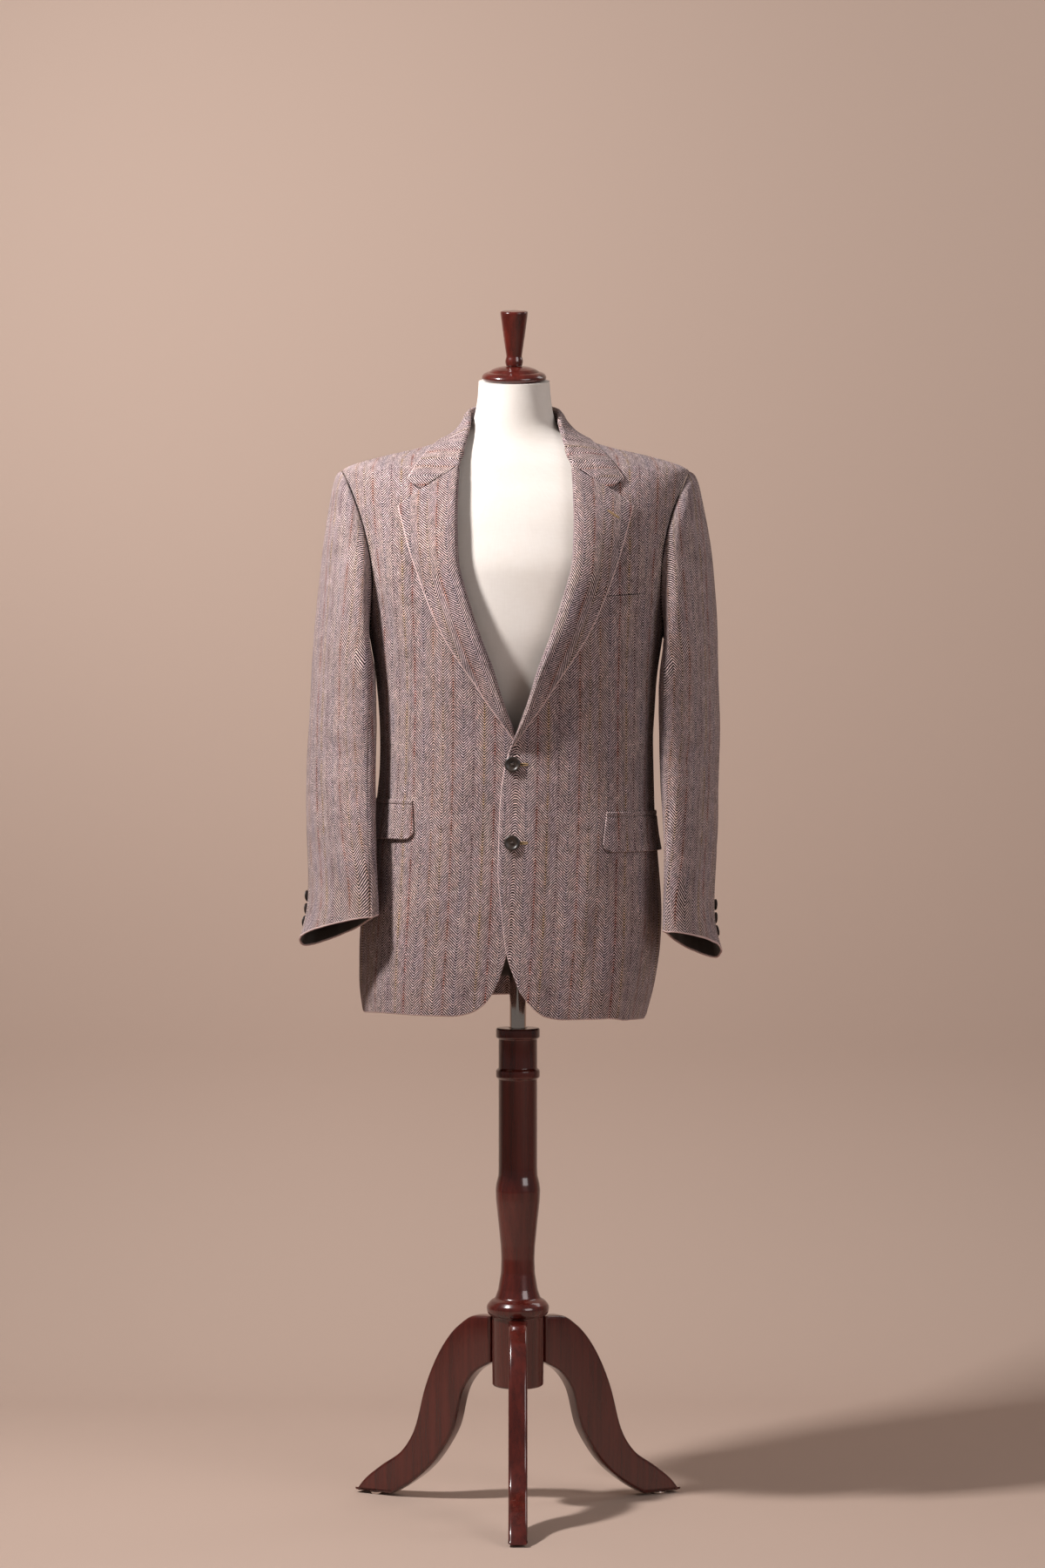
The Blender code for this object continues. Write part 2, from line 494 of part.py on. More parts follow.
def front_grid(side, columns=11):
    """Pattern grid of a front, from its edge and roll line to the side seam and armhole."""
    edge = EDGE_LEFT if side > 0 else EDGE_RIGHT
    low = [tuple(front_pattern(x, z, side)) for x, z in edge[EDGE_CORNER::-1]]
    low += [(half_width(hem_z(t, side)) * t, hem_z(t, side)) for t in HEM_TURNS]
    bottom = path(low, columns, EDGE_CROWD)
    high = [tuple(front_pattern(x, z, side)) for x, z in edge[EDGE_CORNER:]]
    for z in OPENING_LEVELS:
        further = np.clip((z - NECK_SETBACK_FROM) / NECK_SETBACK_RAMP, 0, 1)
        setback = ROLL_SETBACK + NECK_SETBACK * further
        x = MIDDLE_LINE + side * (ROLL.at(z, "reach") + setback)
        high.append(tuple(front_pattern(x, z, side)))
    high += [(half_width(z) * turn, z) for turn, z in FRONT_NECKLINE]
    rows = SIDE_ROWS + FRONT_ARC + 1
    left = path(high, rows, 1.0, SHOULDER_CROWD)
    seam = np.array([(half_width(z) * SIDE_SEAM, z) for z in seam_line(SIDE_SEAM, side)])
    turn, z = armhole(arm_loops()[0][::-1])
    right = np.concatenate([seam, np.stack([turn * half_width(z), z], -1)[1:]])
    top_z = np.linspace(NECK_POINT_Z, ARM_TOP_Z, columns)
    top = on_ridge(path(np.stack([half_width(top_z), top_z], -1), columns))
    return coons(left, bottom, right, top)


def side_grid(side):
    """Pattern grid of a side body, between its two seams, up to the underarm."""
    turns = armhole(arm_loops()[1])[0]
    bottom_turns = np.linspace(SIDE_SEAM, BACK_SEAM, UNDER_ARC + 1)
    bottom = np.stack([half_width(hem_z(bottom_turns, side)) * bottom_turns,
                       hem_z(bottom_turns, side)], -1)
    z = armhole(arm_loops()[1])[1]
    top = np.stack([turns * half_width(z), z], -1)
    left_z, right_z = seam_line(SIDE_SEAM, side), seam_line(BACK_SEAM, side)
    left = np.stack([half_width(left_z) * SIDE_SEAM, left_z], -1)
    right = np.stack([half_width(right_z) * BACK_SEAM, right_z], -1)
    return coons(left, bottom, right, top)


def back_grid(side, columns=12):
    """Pattern grid of a back, from the back seam to centre back (s counted from centre back)."""
    turns = np.linspace(BACK_SEAM, 2, columns)
    z = hem_z(turns, side)
    bottom = np.stack([half_width(z) * (2 - turns), z], -1)
    seam_z = seam_line(BACK_SEAM, side)
    turn, arm_z = armhole(arm_loops()[2])
    left = np.stack([half_width(seam_z) * (2 - BACK_SEAM), seam_z], -1)
    left = np.concatenate([left, np.stack([(2 - turn) * half_width(arm_z), arm_z], -1)[1:]])
    shoulder_z = np.linspace(ARM_TOP_Z, NECK_POINT_Z, 6)
    line = [(half_width(z), z) for z in shoulder_z]
    line += [(half_width(NECK_POINT_Z) * share, z) for share, z in BACK_NECKLINE]
    top = on_ridge(path(line, columns))
    low = hem_z(2.0, side)
    centre_z = low + (BACK_NECK_Z - low) * crowded(len(left), 1.0, NAPE_CROWD)
    right = np.stack([np.zeros_like(centre_z), centre_z], -1)
    return coons(left, bottom, right, top)


def on_ridge(line):
    """Sets pattern points of the shoulder seam exactly a quarter turn round."""
    line[:, 0] = np.where(line[:, 1] <= NECK_POINT_Z, half_width(line[:, 1]), line[:, 0])
    return line


def open_seams(grid, first, last):
    """Moves a pattern grid's first and last columns across, by half a seam gap each."""
    grid = grid.copy()
    grid[:, 0, 0] += first
    grid[:, -1, 0] += last
    return grid


def overlap_lift(turn, z, side):
    """The left front rides over the right one near centre front, below the opening."""
    if side < 0:
        return 0.0
    x = body_ring(BODY, turn, z)[..., 0]
    share = np.clip((OVERLAP_END - x) / OVERLAP_RAMP, 0, 1) * (np.abs(turn) < 1)
    return OVERLAP_LIFT * share * share * (3 - 2 * share)


def pattern_cloth(grid, side, from_back=False, out=0.0):
    """Points of the jacket at a pattern grid."""
    s, z = grid[..., 0], grid[..., 1]
    turn = s / half_width(z)
    turn = side * (2 - turn if from_back else turn)
    return cloth(turn, z, out + overlap_lift(turn, z, side))


def add_bodies(tweed, parent):
    for side, word in ((1, "left"), (-1, "right")):
        front = open_seams(front_grid(side), 0.0, -HALF_SEAM)
        wall(f"front_{word}", *ridge_gap(*pattern_cloth(front, side), -1), WALL, tweed, parent)
        flank = open_seams(side_grid(side), HALF_SEAM, -HALF_SEAM)
        wall(f"side_{word}", *pattern_cloth(flank, side), WALL, tweed, parent)
        back = open_seams(back_grid(side), -HALF_SEAM, HALF_SEAM)
        wall(f"back_{word}", *ridge_gap(*pattern_cloth(back, side, True), 1), WALL, tweed, parent)


def ridge_gap(points, outward, way):
    """Draws the shoulder seam's border off the ridge, forwards (-1) or backwards (+1)."""
    points[-1, :, 1] += way * HALF_SEAM
    return points, outward


# ---------------------------------------------------------------- sleeves
def sleeve_ring(row, loop, side):
    """One ring of a sleeve at loop turns: 0 outer or top, 0.25 front, 0.5 inner, 0.75 back."""
    size = dict(zip(SLEEVE_COLUMNS, row))
    angle = np.asarray(loop, float) * 2 * math.pi
    over, front = np.cos(angle), np.sin(angle)
    x = (size["out_x"] + size["in_x"]) / 2 + (size["out_x"] - size["in_x"]) / 2 * over
    z = (size["out_z"] + size["in_z"]) / 2 + (size["out_z"] - size["in_z"]) / 2 * over
    y = size["mid_y"] - size["deep"] * front + size["shear"] * over
    x = side * (x - size["bow"] * front ** 2)
    z = z - size["pitch"] * (y - size["mid_y"])
    return np.stack([x, y, z], -1)


def sleeve_rings(side, loops):
    """All rings of a sleeve. The first lies just outside the armhole seam."""
    turn, z = armhole(loops)
    seam, outward = cloth(side * turn, z)
    seam = seam.copy()
    seam[..., 0] += side * (SEAM + 0.0005)
    rows = SLEEVE_LEFT if side > 0 else SLEEVE_RIGHT
    even = np.linspace(0, 1, len(loops))
    rings = [seam]
    for k, row in enumerate(rows):
        share = min(1.0, (k + 1) / EVEN_RING)
        rings.append(clear_of_body(sleeve_ring(row, loops * (1 - share) + even * share, side)))
    return np.array(rings)


def clear_of_body(points):
    """Moves points that come too close to the body's surface straight out to that distance."""
    x, y, z = points.T
    surface = cloth(turn_of(x, y, z), z, SLEEVE_GAP)[0]
    middle = np.stack([BODY.at(z, "middle"), 0 * z, z], -1)
    reach = np.linalg.norm(points - middle, axis=-1)
    least = np.linalg.norm((surface - middle)[:, :2], axis=-1)
    grow = np.where(np.abs(x) > 0.1, np.maximum(least / reach, 1.0), 1.0)
    return middle + (points - middle) * grow[:, None]


def grid_outward(points, middle):
    """Outward directions of a grid that wraps round a middle line, one middle point for each row."""
    along = np.gradient(points, axis=0)
    across = np.gradient(points, axis=1)
    outward = np.cross(along, across)
    outward /= np.linalg.norm(outward, axis=-1, keepdims=True)
    away = points - middle[:, None]
    flip = np.sign(np.sum(outward * away, axis=-1).mean())
    return outward * flip


def add_sleeves(tweed, parent):
    front, under, back = arm_loops()
    loops = np.concatenate([front, under[1:], back[1:]])
    for side, word in ((1, "left"), (-1, "right")):
        rings = sleeve_rings(side, loops)
        middle = rings[:, :-1].mean(axis=1)
        wrapped = np.concatenate([rings[:, -3:-1], rings, rings[:, 1:3]], axis=1)
        outward = grid_outward(wrapped, middle)[:, 2:-2]
        outward[0] = armhole_outward(outward[0], rings)
        fore = FRONT_ARC
        hind = FRONT_ARC + UNDER_ARC + UNDER_SLEEVE_TO
        top_columns = list(range(hind, len(loops) - 1)) + list(range(0, fore + 1))
        under_columns = list(range(fore, hind + 1))
        for part, columns in (("top", top_columns), ("under", under_columns)):
            points = rings[:, columns].copy()
            for border, inward in ((0, 1), (-1, -2)):
                step = points[:, inward] - points[:, border]
                points[:, border] += step / np.linalg.norm(step, axis=-1, keepdims=True) * SLEEVE_SEAM
            wall(f"sleeve_{part}_{word}", points, outward[:, columns], WALL, tweed, parent)


def armhole_outward(first, rings):
    """Outward directions at the armhole seam, kept square to the sleeve's first stretch."""
    along = rings[1] - rings[0]
    along /= np.linalg.norm(along, axis=-1, keepdims=True)
    flat = first - np.sum(first * along, axis=-1, keepdims=True) * along
    return flat / np.linalg.norm(flat, axis=-1, keepdims=True)


# ---------------------------------------------------------------- lapels and collar
def front_places(x, z, side, out):
    """Places on the front seen at x and z, moved out."""
    turn = turn_at(x, z)
    return cloth(turn, z, out + overlap_lift(turn, z, side))


def lapel_grid(side, rows=19, columns=6):
    """Front view grid of a lapel: from the roll line out to the free edge, bottom to gorge."""
    low = LAPEL_LOW_LEFT if side > 0 else LAPEL_LOW_RIGHT
    z = np.linspace(low, GORGE[1], rows)
    roll = np.stack([ROLL.at(z, "reach"), z], -1)
    roll[:, 0] -= LAPEL_LOW_DROP * np.clip((1.025 - z) / 0.027, 0, 1)
    tip_z = np.linspace(low, LAPEL_TIP[1], 40)
    edge = path(np.stack([LAPEL_EDGE.at(tip_z, "reach"), tip_z], -1), rows)
    edge[:, 0] = np.maximum(edge[:, 0], roll[0, 0] + LAPEL_LOW_WIDTH)
    bottom = path((roll[0], edge[0]), columns)
    top = path((roll[-1], (NOTCH[0], NOTCH[1] - SEAM), edge[-1]), columns)
    return coons(roll, bottom, edge, top)


def lapel_points(side, rows=19, columns=6):
    grid = lapel_grid(side, rows, columns)
    u = np.linspace(0, 1, columns)[None, :]
    v = np.linspace(0, 1, rows)[:, None]
    belly = LAPEL_BELLY * np.sin(math.pi * u ** 0.8) * np.sin(math.pi * v ** 0.9) ** 0.7
    x = MIDDLE_LINE + side * grid[..., 0]
    return front_places(x, grid[..., 1], side, COVER_GAP + LAPEL_WALL + belly)


def turn_of(x, y, z):
    """Turn of the body direction in which a point lies."""
    depth = np.where(np.asarray(y) < 0, BODY.at(z, "front"), BODY.at(z, "back"))
    return np.arctan2((x - BODY.at(z, "middle")) / half_width(z), -y / depth) * 2 / math.pi


def fall_place(share, step):
    """Turn and height on the collar's fall: step 0 at the fold, 1 at its outer edge."""
    x, y, z = (COLLAR.at(share, f"fold_{axis}") for axis in "xyz")
    fold = np.array([turn_of(x + BODY.at(z, "middle"), y, z), z])
    edge = np.array([COLLAR.at(share, "edge_turn"), COLLAR.at(share, "edge_z")])
    straight = fold + (edge - fold) * step
    notch = np.array([turn_at(NOTCH[0] + BODY.at(NOTCH[1], "middle"), NOTCH[1]), NOTCH[1] + SEAM])
    bent = (fold + (notch - fold) * step / NOTCH_STEP if step < NOTCH_STEP
            else notch + (edge - notch) * (step - NOTCH_STEP) / (1 - NOTCH_STEP))
    weight = np.clip((share - NOTCH_FROM) / (1 - NOTCH_FROM), 0, 1) ** 2
    return straight + (bent - straight) * weight


def collar_profile(share, side):
    """The collar's middle layer across one station, from its outer edge over the fold to the seam."""
    x, y, z = (COLLAR.at(share, f"fold_{axis}") for axis in "xyz")
    middle = np.array([side * x + BODY.at(z, "middle"), y, z])
    turn = side * turn_of(x + BODY.at(z, "middle"), y, z)
    outward = normal_of(BODY, turn, z)
    gap = COLLAR_GAP + COLLAR_WALL / 2
    height = np.dot(middle - body_ring(BODY, turn, z), outward)
    points = []
    for step in FALL_STEPS:
        place = fall_place(share, step)
        out = gap + (height + FOLD_RADIUS - gap) * (1 - step) ** 2
        out += COLLAR_BELLY * math.sin(math.pi * step)
        points.append(cloth(side * place[0], place[1], max(out, gap))[0])
    ridge = middle - points[-2]
    ridge -= np.dot(ridge, outward) * outward
    ridge /= np.linalg.norm(ridge)
    for angle in map(math.radians, FOLD_TURNS):
        points.append(middle + FOLD_RADIUS * (outward * math.cos(angle) + ridge * math.sin(angle)))
    seam_turn, seam_z = side * COLLAR.at(share, "seam_turn"), COLLAR.at(share, "seam_z")
    foot = cloth(seam_turn, seam_z, -COLLAR_WALL / 2)[0]
    start = points[-1]
    points += [start + (foot - start) * step for step in STAND_STEPS]
    return points


def collar_points(stations=COLLAR_STATIONS):
    half = np.linspace(1, 0, stations // 2 + 1)
    lines = [collar_profile(share, 1) for share in half]
    lines += [collar_profile(share, -1) for share in half[-2::-1]]
    return np.array(lines)


def add_collar(tweed, parent):
    middle = collar_points()
    outward = np.cross(np.gradient(middle, axis=1), np.gradient(middle, axis=0))
    outward /= np.linalg.norm(outward, axis=-1, keepdims=True)
    if outward[len(middle) // 2, 0, 1] < 0:
        outward = -outward
    wall("collar", middle + outward * COLLAR_WALL / 2, outward, COLLAR_WALL, tweed, parent)


# ---------------------------------------------------------------- pockets, lining, buttons
def welt_points(out, rows, columns):
    """The breast pocket's welt, laid on the left front. Rows run bottom to top."""
    (x0, z0), (x1, z1), (x2, z2), (x3, z3) = WELT
    u = np.linspace(0, 1, columns)[None, :]
    v = np.linspace(0, 1, rows)[:, None]
    x = (x0 * (1 - u) + x1 * u) * (1 - v) + (x2 * (1 - u) + x3 * u) * v
    z = (z0 * (1 - u) + z1 * u) * (1 - v) + (z2 * (1 - u) + z3 * u) * v
    return cloth(turn_at(x, z), z, out)


def run_back(x, z, length, side):
    """Turn reached by going back round the body from x by a length."""
    turns = side * np.linspace(abs(float(turn_at(x, z))), 1.4, 200)
    ring = body_ring(BODY, turns, z)
    run = np.concatenate([[0], np.cumsum(np.linalg.norm(np.diff(ring, axis=0), axis=1))])
    return np.interp(length, run, turns)


def flap_points(side, top, bottom, out, rows, columns, hangs):
    """A flap's or jet's grid: it starts at the front end and runs back round the body.

    A flap that hangs has a slanted front end, rounded lower corners and stands off below.
    """
    front_x = side * FLAP.at(side, "front_x")
    start = float(turn_at(front_x, top))
    end = run_back(front_x, top, FLAP_LENGTH, side)
    u = np.linspace(0, 1, columns)[None, :]
    v = np.linspace(0, 1, rows)[:, None]
    corner = hangs * FLAP_SLANT * (1 - v) ** 1.5 * (1 - u) ** 2 / half_width(top)
    turn = start + (end - start) * u + side * corner
    round_off = hangs * FLAP_ROUND * ((1 - u) ** 6 + 0.5 * u ** 8) * (1 - v) ** 3
    z = bottom + (top - bottom) * v + round_off
    lip = hangs * FLAP_STAND * (1 - v) ** 2 * (0.4 + 0.6 * np.sin(math.pi * u))
    return cloth(turn, z, out + lip)


def add_pockets(tweed, parent):
    for side, word in ((1, "left"), (-1, "right")):
        top, bottom = FLAP.at(side, "top_z"), FLAP.at(side, "bottom_z")
        points = flap_points(side, top, bottom, POCKET_GAP + FLAP_WALL, 6, 11, True)
        wall(f"pocket_flap_{word}", *points, FLAP_WALL, tweed, parent)
        low = top + SEAM + 0.0002
        points = flap_points(side, low + JET_HEIGHT, low, POCKET_GAP + JET_WALL, 2, 11, False)
        wall(f"pocket_jet_{word}", *points, JET_WALL, tweed, parent)
    wall("breast_welt", *welt_points(WELT_GAP + JET_WALL, 3, 7), JET_WALL, tweed, parent)


def add_lining(lining, parent):
    """The strip of lining above the hem's turn-up, on the backs' own facets."""
    halves = []
    for side in (1, -1):
        points, outward = pattern_cloth(back_grid(side), side, True)
        rows = np.array(LINING_ROWS)
        low = rows.astype(int)
        share = (rows - low)[:, None, None]
        points = points[low] * (1 - share) + points[low + 1] * share
        outward = outward[low] * (1 - share) + outward[low + 1] * share
        halves.append((points[:, 1:], outward[:, 1:]))
    points = np.concatenate([halves[0][0], halves[1][0][:, -2::-1]], axis=1)
    outward = np.concatenate([halves[0][1], halves[1][1][:, -2::-1]], axis=1)
    outward /= np.linalg.norm(outward, axis=-1, keepdims=True)
    wall("lining_back", points - outward * (WALL + POCKET_GAP), outward, LINING_WALL, lining, parent)


def turned(name, profile, surface, parent, segments, place=(0, 0, 0), turn=(0, 0, 0), close=True):
    """Solid of revolution about Z: the profile runs down the outer side. Its ends meet the axis."""
    line = [(r, z) for r, z in profile]
    if close:
        line = [(0.0, line[0][1])] + line + [(0.0, line[-1][1])]
    mesh = bpy.data.meshes.new(name)
    edges = [(k, k + 1) for k in range(len(line) - 1)]
    if not close:
        edges.append((len(line) - 1, 0))
    mesh.from_pydata([(r, 0.0, z) for r, z in line], edges, [])
    piece = add_piece(name, mesh, surface, parent, place, turn)
    screw = piece.modifiers.new("turning", "SCREW")
    screw.steps = screw.render_steps = segments
    screw.use_merge_vertices = True
    screw.merge_threshold = 0.00005
    return piece


def button_profile(radius):
    """The button's half section at a given radius."""
    share = radius / FRONT_BUTTON_RADIUS
    return [(r * share, z * share) for r, z in BUTTON]


def tilt_to(direction):
    """Euler angles that turn +Z to a direction."""
    x, y, z = direction
    return (0.0, math.acos(max(-1.0, min(1.0, z))), math.atan2(y, x))


def row_above_cuff(rows, place):
    """A sleeve's row at so many ring spacings up from the cuff."""
    whole = int(place)
    share = place - whole
    return np.array(rows[-1 - whole]) * (1 - share) + np.array(rows[-2 - whole]) * share


def add_buttons(horn, parent):
    for number, (x, z) in enumerate(FRONT_BUTTONS, 1):
        point, outward = front_places(np.array(x), np.array(z), 1, REST_GAP + BUTTON_SEAT)
        turned(f"button_front_{number}", button_profile(FRONT_BUTTON_RADIUS), horn, parent, 20,
               tuple(point), tilt_to(outward))
    for side, word in ((1, "left"), (-1, "right")):
        rows = SLEEVE_LEFT if side > 0 else SLEEVE_RIGHT
        for number, place in enumerate(CUFF_BUTTON_ROW, 1):
            row = row_above_cuff(rows, place)
            near = [sleeve_ring(row, 1 - CUFF_BUTTON_LOOP + step, side) for step in (-0.01, 0, 0.01)]
            above = sleeve_ring(row_above_cuff(rows, place + 0.1), 1 - CUFF_BUTTON_LOOP, side)
            outward = np.cross(near[2] - near[0], above - near[1])
            outward *= np.sign(outward[0] * side) / np.linalg.norm(outward)
            point = near[1] + outward * REST_GAP
            turned(f"cuff_button_{word}_{number}", button_profile(CUFF_BUTTON_RADIUS), horn, parent,
                   14, tuple(point), tilt_to(outward))


# ---------------------------------------------------------------- form and stand
def add_form(linen, parent):
    """Closed torso: rings from its flat underside to the flat top of its neck."""
    levels = np.array([row[0] for row in FORM.rows])
    fine = np.unique(np.concatenate([levels, (levels[2:9] + levels[3:10]) / 2]))
    around = np.linspace(-2, 2, FORM_SEGMENTS, endpoint=False)
    points = body_ring(FORM, around[None, :] + 0 * fine[:, None], fine[:, None] + 0 * around[None, :])
    slope = math.tan(math.radians(NECK_TILT)) / (NECK_TOP_Z - NECK_SLOPE_FROM)
    points[..., 2] += points[..., 1] * slope * np.maximum(points[..., 2] - NECK_SLOPE_FROM, 0)
    rows, columns = points.shape[:2]
    faces = [[i * columns + j, i * columns + (j + 1) % columns,
              (i + 1) * columns + (j + 1) % columns, (i + 1) * columns + j]
             for i in range(rows - 1) for j in range(columns)]
    flat = list(points.reshape(-1, 3))
    for row in (0, rows - 1):
        flat.append(points[row].mean(axis=0))
        faces += [[row * columns + j, row * columns + (j + 1) % columns, len(flat) - 1]
                  for j in range(columns)]
    add_mesh("form", flat, faces, linen, parent)


def add_stand(linen, wood, chrome, parent):
    add_form(linen, parent)
    neck, lean = (NECK_X, 0.0, NECK_TOP_Z), (math.radians(NECK_TILT), 0.0, 0.0)
    turned("neck_cap", NECK_CAP, wood, parent, WOOD_SEGMENTS, neck, lean)
    turned("finial", FINIAL, wood, parent, FINIAL_SEGMENTS, neck, lean)
    socket = list(SOCKET) + [(BORE_RADIUS + 0.0010, SOCKET[-1][1]), (BORE_RADIUS, SOCKET[-1][1] + 0.0010),
                             (BORE_RADIUS, SOCKET_TOP)]
    turned("form_socket", socket, wood, parent, WOOD_SEGMENTS)
    rod = [(ROD_RADIUS - 0.001, ROD_TOP), (ROD_RADIUS, ROD_TOP - 0.001),
           (ROD_RADIUS, ROD_BOTTOM + 0.001), (ROD_RADIUS - 0.001, ROD_BOTTOM)]
    turned("rod", rod, chrome, parent, WOOD_SEGMENTS)
    column = list(COLUMN) + [(BORE_RADIUS, COLUMN[-1][1]), (BORE_RADIUS, COLUMN[0][1])]
    turned("column", column, wood, parent, WOOD_SEGMENTS, close=False)
    for name, angle in LEG_TURNS.items():
        add_leg(name, angle, wood, parent)
        reach = (GLIDE_REACH * math.cos(math.radians(angle)), GLIDE_REACH * math.sin(math.radians(angle)))
        glide = [(GLIDE_RADIUS, GLIDE_HEIGHT), (GLIDE_RADIUS, 0.0)]
        turned(name.replace("leg", "glide"), glide, chrome, parent, 16, (*reach, 0.0))


def add_leg(name, angle, wood, parent):
    """Plank leg: its side outline lies in XZ, given a thickness along Y and softened edges."""
    outer = path(LEG_OUTER, LEG_OUTER_POINTS)
    inner = path(LEG_INNER, LEG_INNER_POINTS)
    outline = list(outer) + list(inner)
    mesh = bpy.data.meshes.new(name)
    shape = bmesh.new()
    half = LEG_THICK / 2
    face = shape.faces.new([shape.verts.new((r, -half, z)) for r, z in outline])
    pushed = bmesh.ops.extrude_face_region(shape, geom=[face])
    moved = [v for v in pushed["geom"] if isinstance(v, bmesh.types.BMVert)]
    bmesh.ops.translate(shape, verts=moved, vec=(0.0, LEG_THICK, 0.0))
    bmesh.ops.recalc_face_normals(shape, faces=shape.faces)
    shape.to_mesh(mesh)
    shape.free()
    piece = add_piece(name, mesh, wood, parent, turn=(0.0, 0.0, math.radians(angle)))
    bevel = piece.modifiers.new("softened edges", "BEVEL")
    bevel.width = LEG_BEVEL
    bevel.segments = 2
    bevel.limit_method = "ANGLE"
    bevel.angle_limit = math.radians(60)


def main():
    clear_scene()
    axis = bpy.data.objects.new("stand_axis", None)
    axis.location = (AXIS_X, AXIS_Y, 0.0)
    COLLECTION.objects.link(axis)
    tweed = finish("tweed", TWEED_COLOUR, 0.9)
    lining = finish("lining", LINING_COLOUR, 0.45)
    horn = finish("horn", HORN_COLOUR, 0.3)
    linen = finish("linen", FORM_COLOUR, 0.85)
    wood = finish("mahogany", WOOD_COLOUR, 0.2)
    chrome = finish("chrome", CHROME_COLOUR, 0.15, 1.0)
    add_bodies(tweed, axis)
    add_sleeves(tweed, axis)
    for side, word in ((1, "left"), (-1, "right")):
        wall(f"lapel_{word}", *lapel_points(side), LAPEL_WALL, tweed, axis)
    add_collar(tweed, axis)
    add_pockets(tweed, axis)
    add_lining(lining, axis)
    add_buttons(horn, axis)
    add_stand(linen, wood, chrome, axis)


main()
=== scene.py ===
"""Looks of a herringbone tweed jacket on a limbless dress form with a turned tripod stand.

Metres, +Z up, the jacket faces -Y. Left and right are the wearer's, so left is +X.
The cloth pieces are thin shells on the body surface of the solids, with rounded edges, sunk seams,
creases, and a weave drawn in the cloth's own flat measure.
"""
import math

import bpy
import numpy as np
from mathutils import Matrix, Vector
from mathutils.bvhtree import BVHTree


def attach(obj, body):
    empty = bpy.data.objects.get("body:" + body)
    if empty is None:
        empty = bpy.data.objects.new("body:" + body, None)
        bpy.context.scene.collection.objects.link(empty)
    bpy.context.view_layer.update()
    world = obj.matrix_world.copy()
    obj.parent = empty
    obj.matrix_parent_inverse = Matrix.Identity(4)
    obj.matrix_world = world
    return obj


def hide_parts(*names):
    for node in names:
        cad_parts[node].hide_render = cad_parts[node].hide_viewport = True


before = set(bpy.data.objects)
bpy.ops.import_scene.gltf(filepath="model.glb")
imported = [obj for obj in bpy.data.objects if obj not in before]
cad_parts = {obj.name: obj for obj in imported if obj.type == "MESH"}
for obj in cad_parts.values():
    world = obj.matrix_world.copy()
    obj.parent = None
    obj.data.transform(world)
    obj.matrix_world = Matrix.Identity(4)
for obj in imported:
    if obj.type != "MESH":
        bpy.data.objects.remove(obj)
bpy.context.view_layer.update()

# ---------------------------------------------------------------- driving dimensions
AXIS_X = 0.0098            # the stand's axis, beside and behind the middle of the footprint
AXIS_Y = 0.0527
WALL = 0.0022              # tweed with its canvas
SEAM = 0.0003              # gap between sewn pieces
REST_GAP = 0.0003          # gap between a piece and what carries it
COVER_GAP = 0.0006         # lapels lie this far off the cloth under them
POCKET_GAP = 0.0008        # flaps, jets and lining, so that their facets stay clear
COLLAR_GAP = 0.0012        # the collar, round the hollow of the neck
SLEEVE_GAP = 0.0025        # least room between a sleeve and the body
LAPEL_WALL = 0.0028        # facing and cloth together
FLAP_WALL = 0.0020
OVERLAP_LIFT = 0.0030      # the left front lies on the right one
OVERLAP_END = 0.047        # x at which the left front is down again
OVERLAP_RAMP = 0.028       # over this width
SIDE_SEAM = 0.84           # quarter turns from centre front
BACK_SEAM = 1.20
NECK_POINT_Z = 1.4175      # where the shoulder seam meets the collar
BACK_NECK_Z = 1.432
ARM_TOP_Z = 1.3695         # armhole: an oval on the body surface round the widest line
ARM_BOTTOM_Z = 1.150
ARM_FRONT = 0.315          # quarter turns that it reaches forwards and backwards
ARM_BACK = 0.275
EDGE_CROWD = 1.15          # how much a front's columns crowd towards its edge
SHOULDER_CROWD = 1.45      # and its rows towards the shoulder
NAPE_CROWD = 1.7           # and a back's rows towards the nape


class Table:
    """Rows of sizes under named columns, read by a smooth curve at any value of the first."""

    def __init__(self, columns, rows):
        self.columns = columns
        self.rows = np.array(rows, float)

    def at(self, x, column):
        return smooth(self.rows[:, 0], self.rows[:, self.columns.index(column)], x)


def smooth(xs, ys, x):
    """Shape-keeping cubic through the points, flat beyond its ends."""
    x = np.clip(np.asarray(x, float), xs[0], xs[-1])
    width = np.diff(xs)
    rise = np.diff(ys) / width
    slope = np.zeros_like(ys)
    slope[0], slope[-1] = rise[0], rise[-1]
    both = rise[:-1] * rise[1:]
    total = np.where(both > 0, rise[:-1] + rise[1:], 1.0)
    slope[1:-1] = np.where(both > 0, 2 * both / total, 0.0)
    i = np.clip(np.searchsorted(xs, x) - 1, 0, len(xs) - 2)
    t = (x - xs[i]) / width[i]
    return (ys[i] * (1 + 2 * t) * (1 - t) ** 2 + ys[i + 1] * t * t * (3 - 2 * t)
            + width[i] * (slope[i] * t * (1 - t) ** 2 - slope[i + 1] * t * t * (1 - t)))


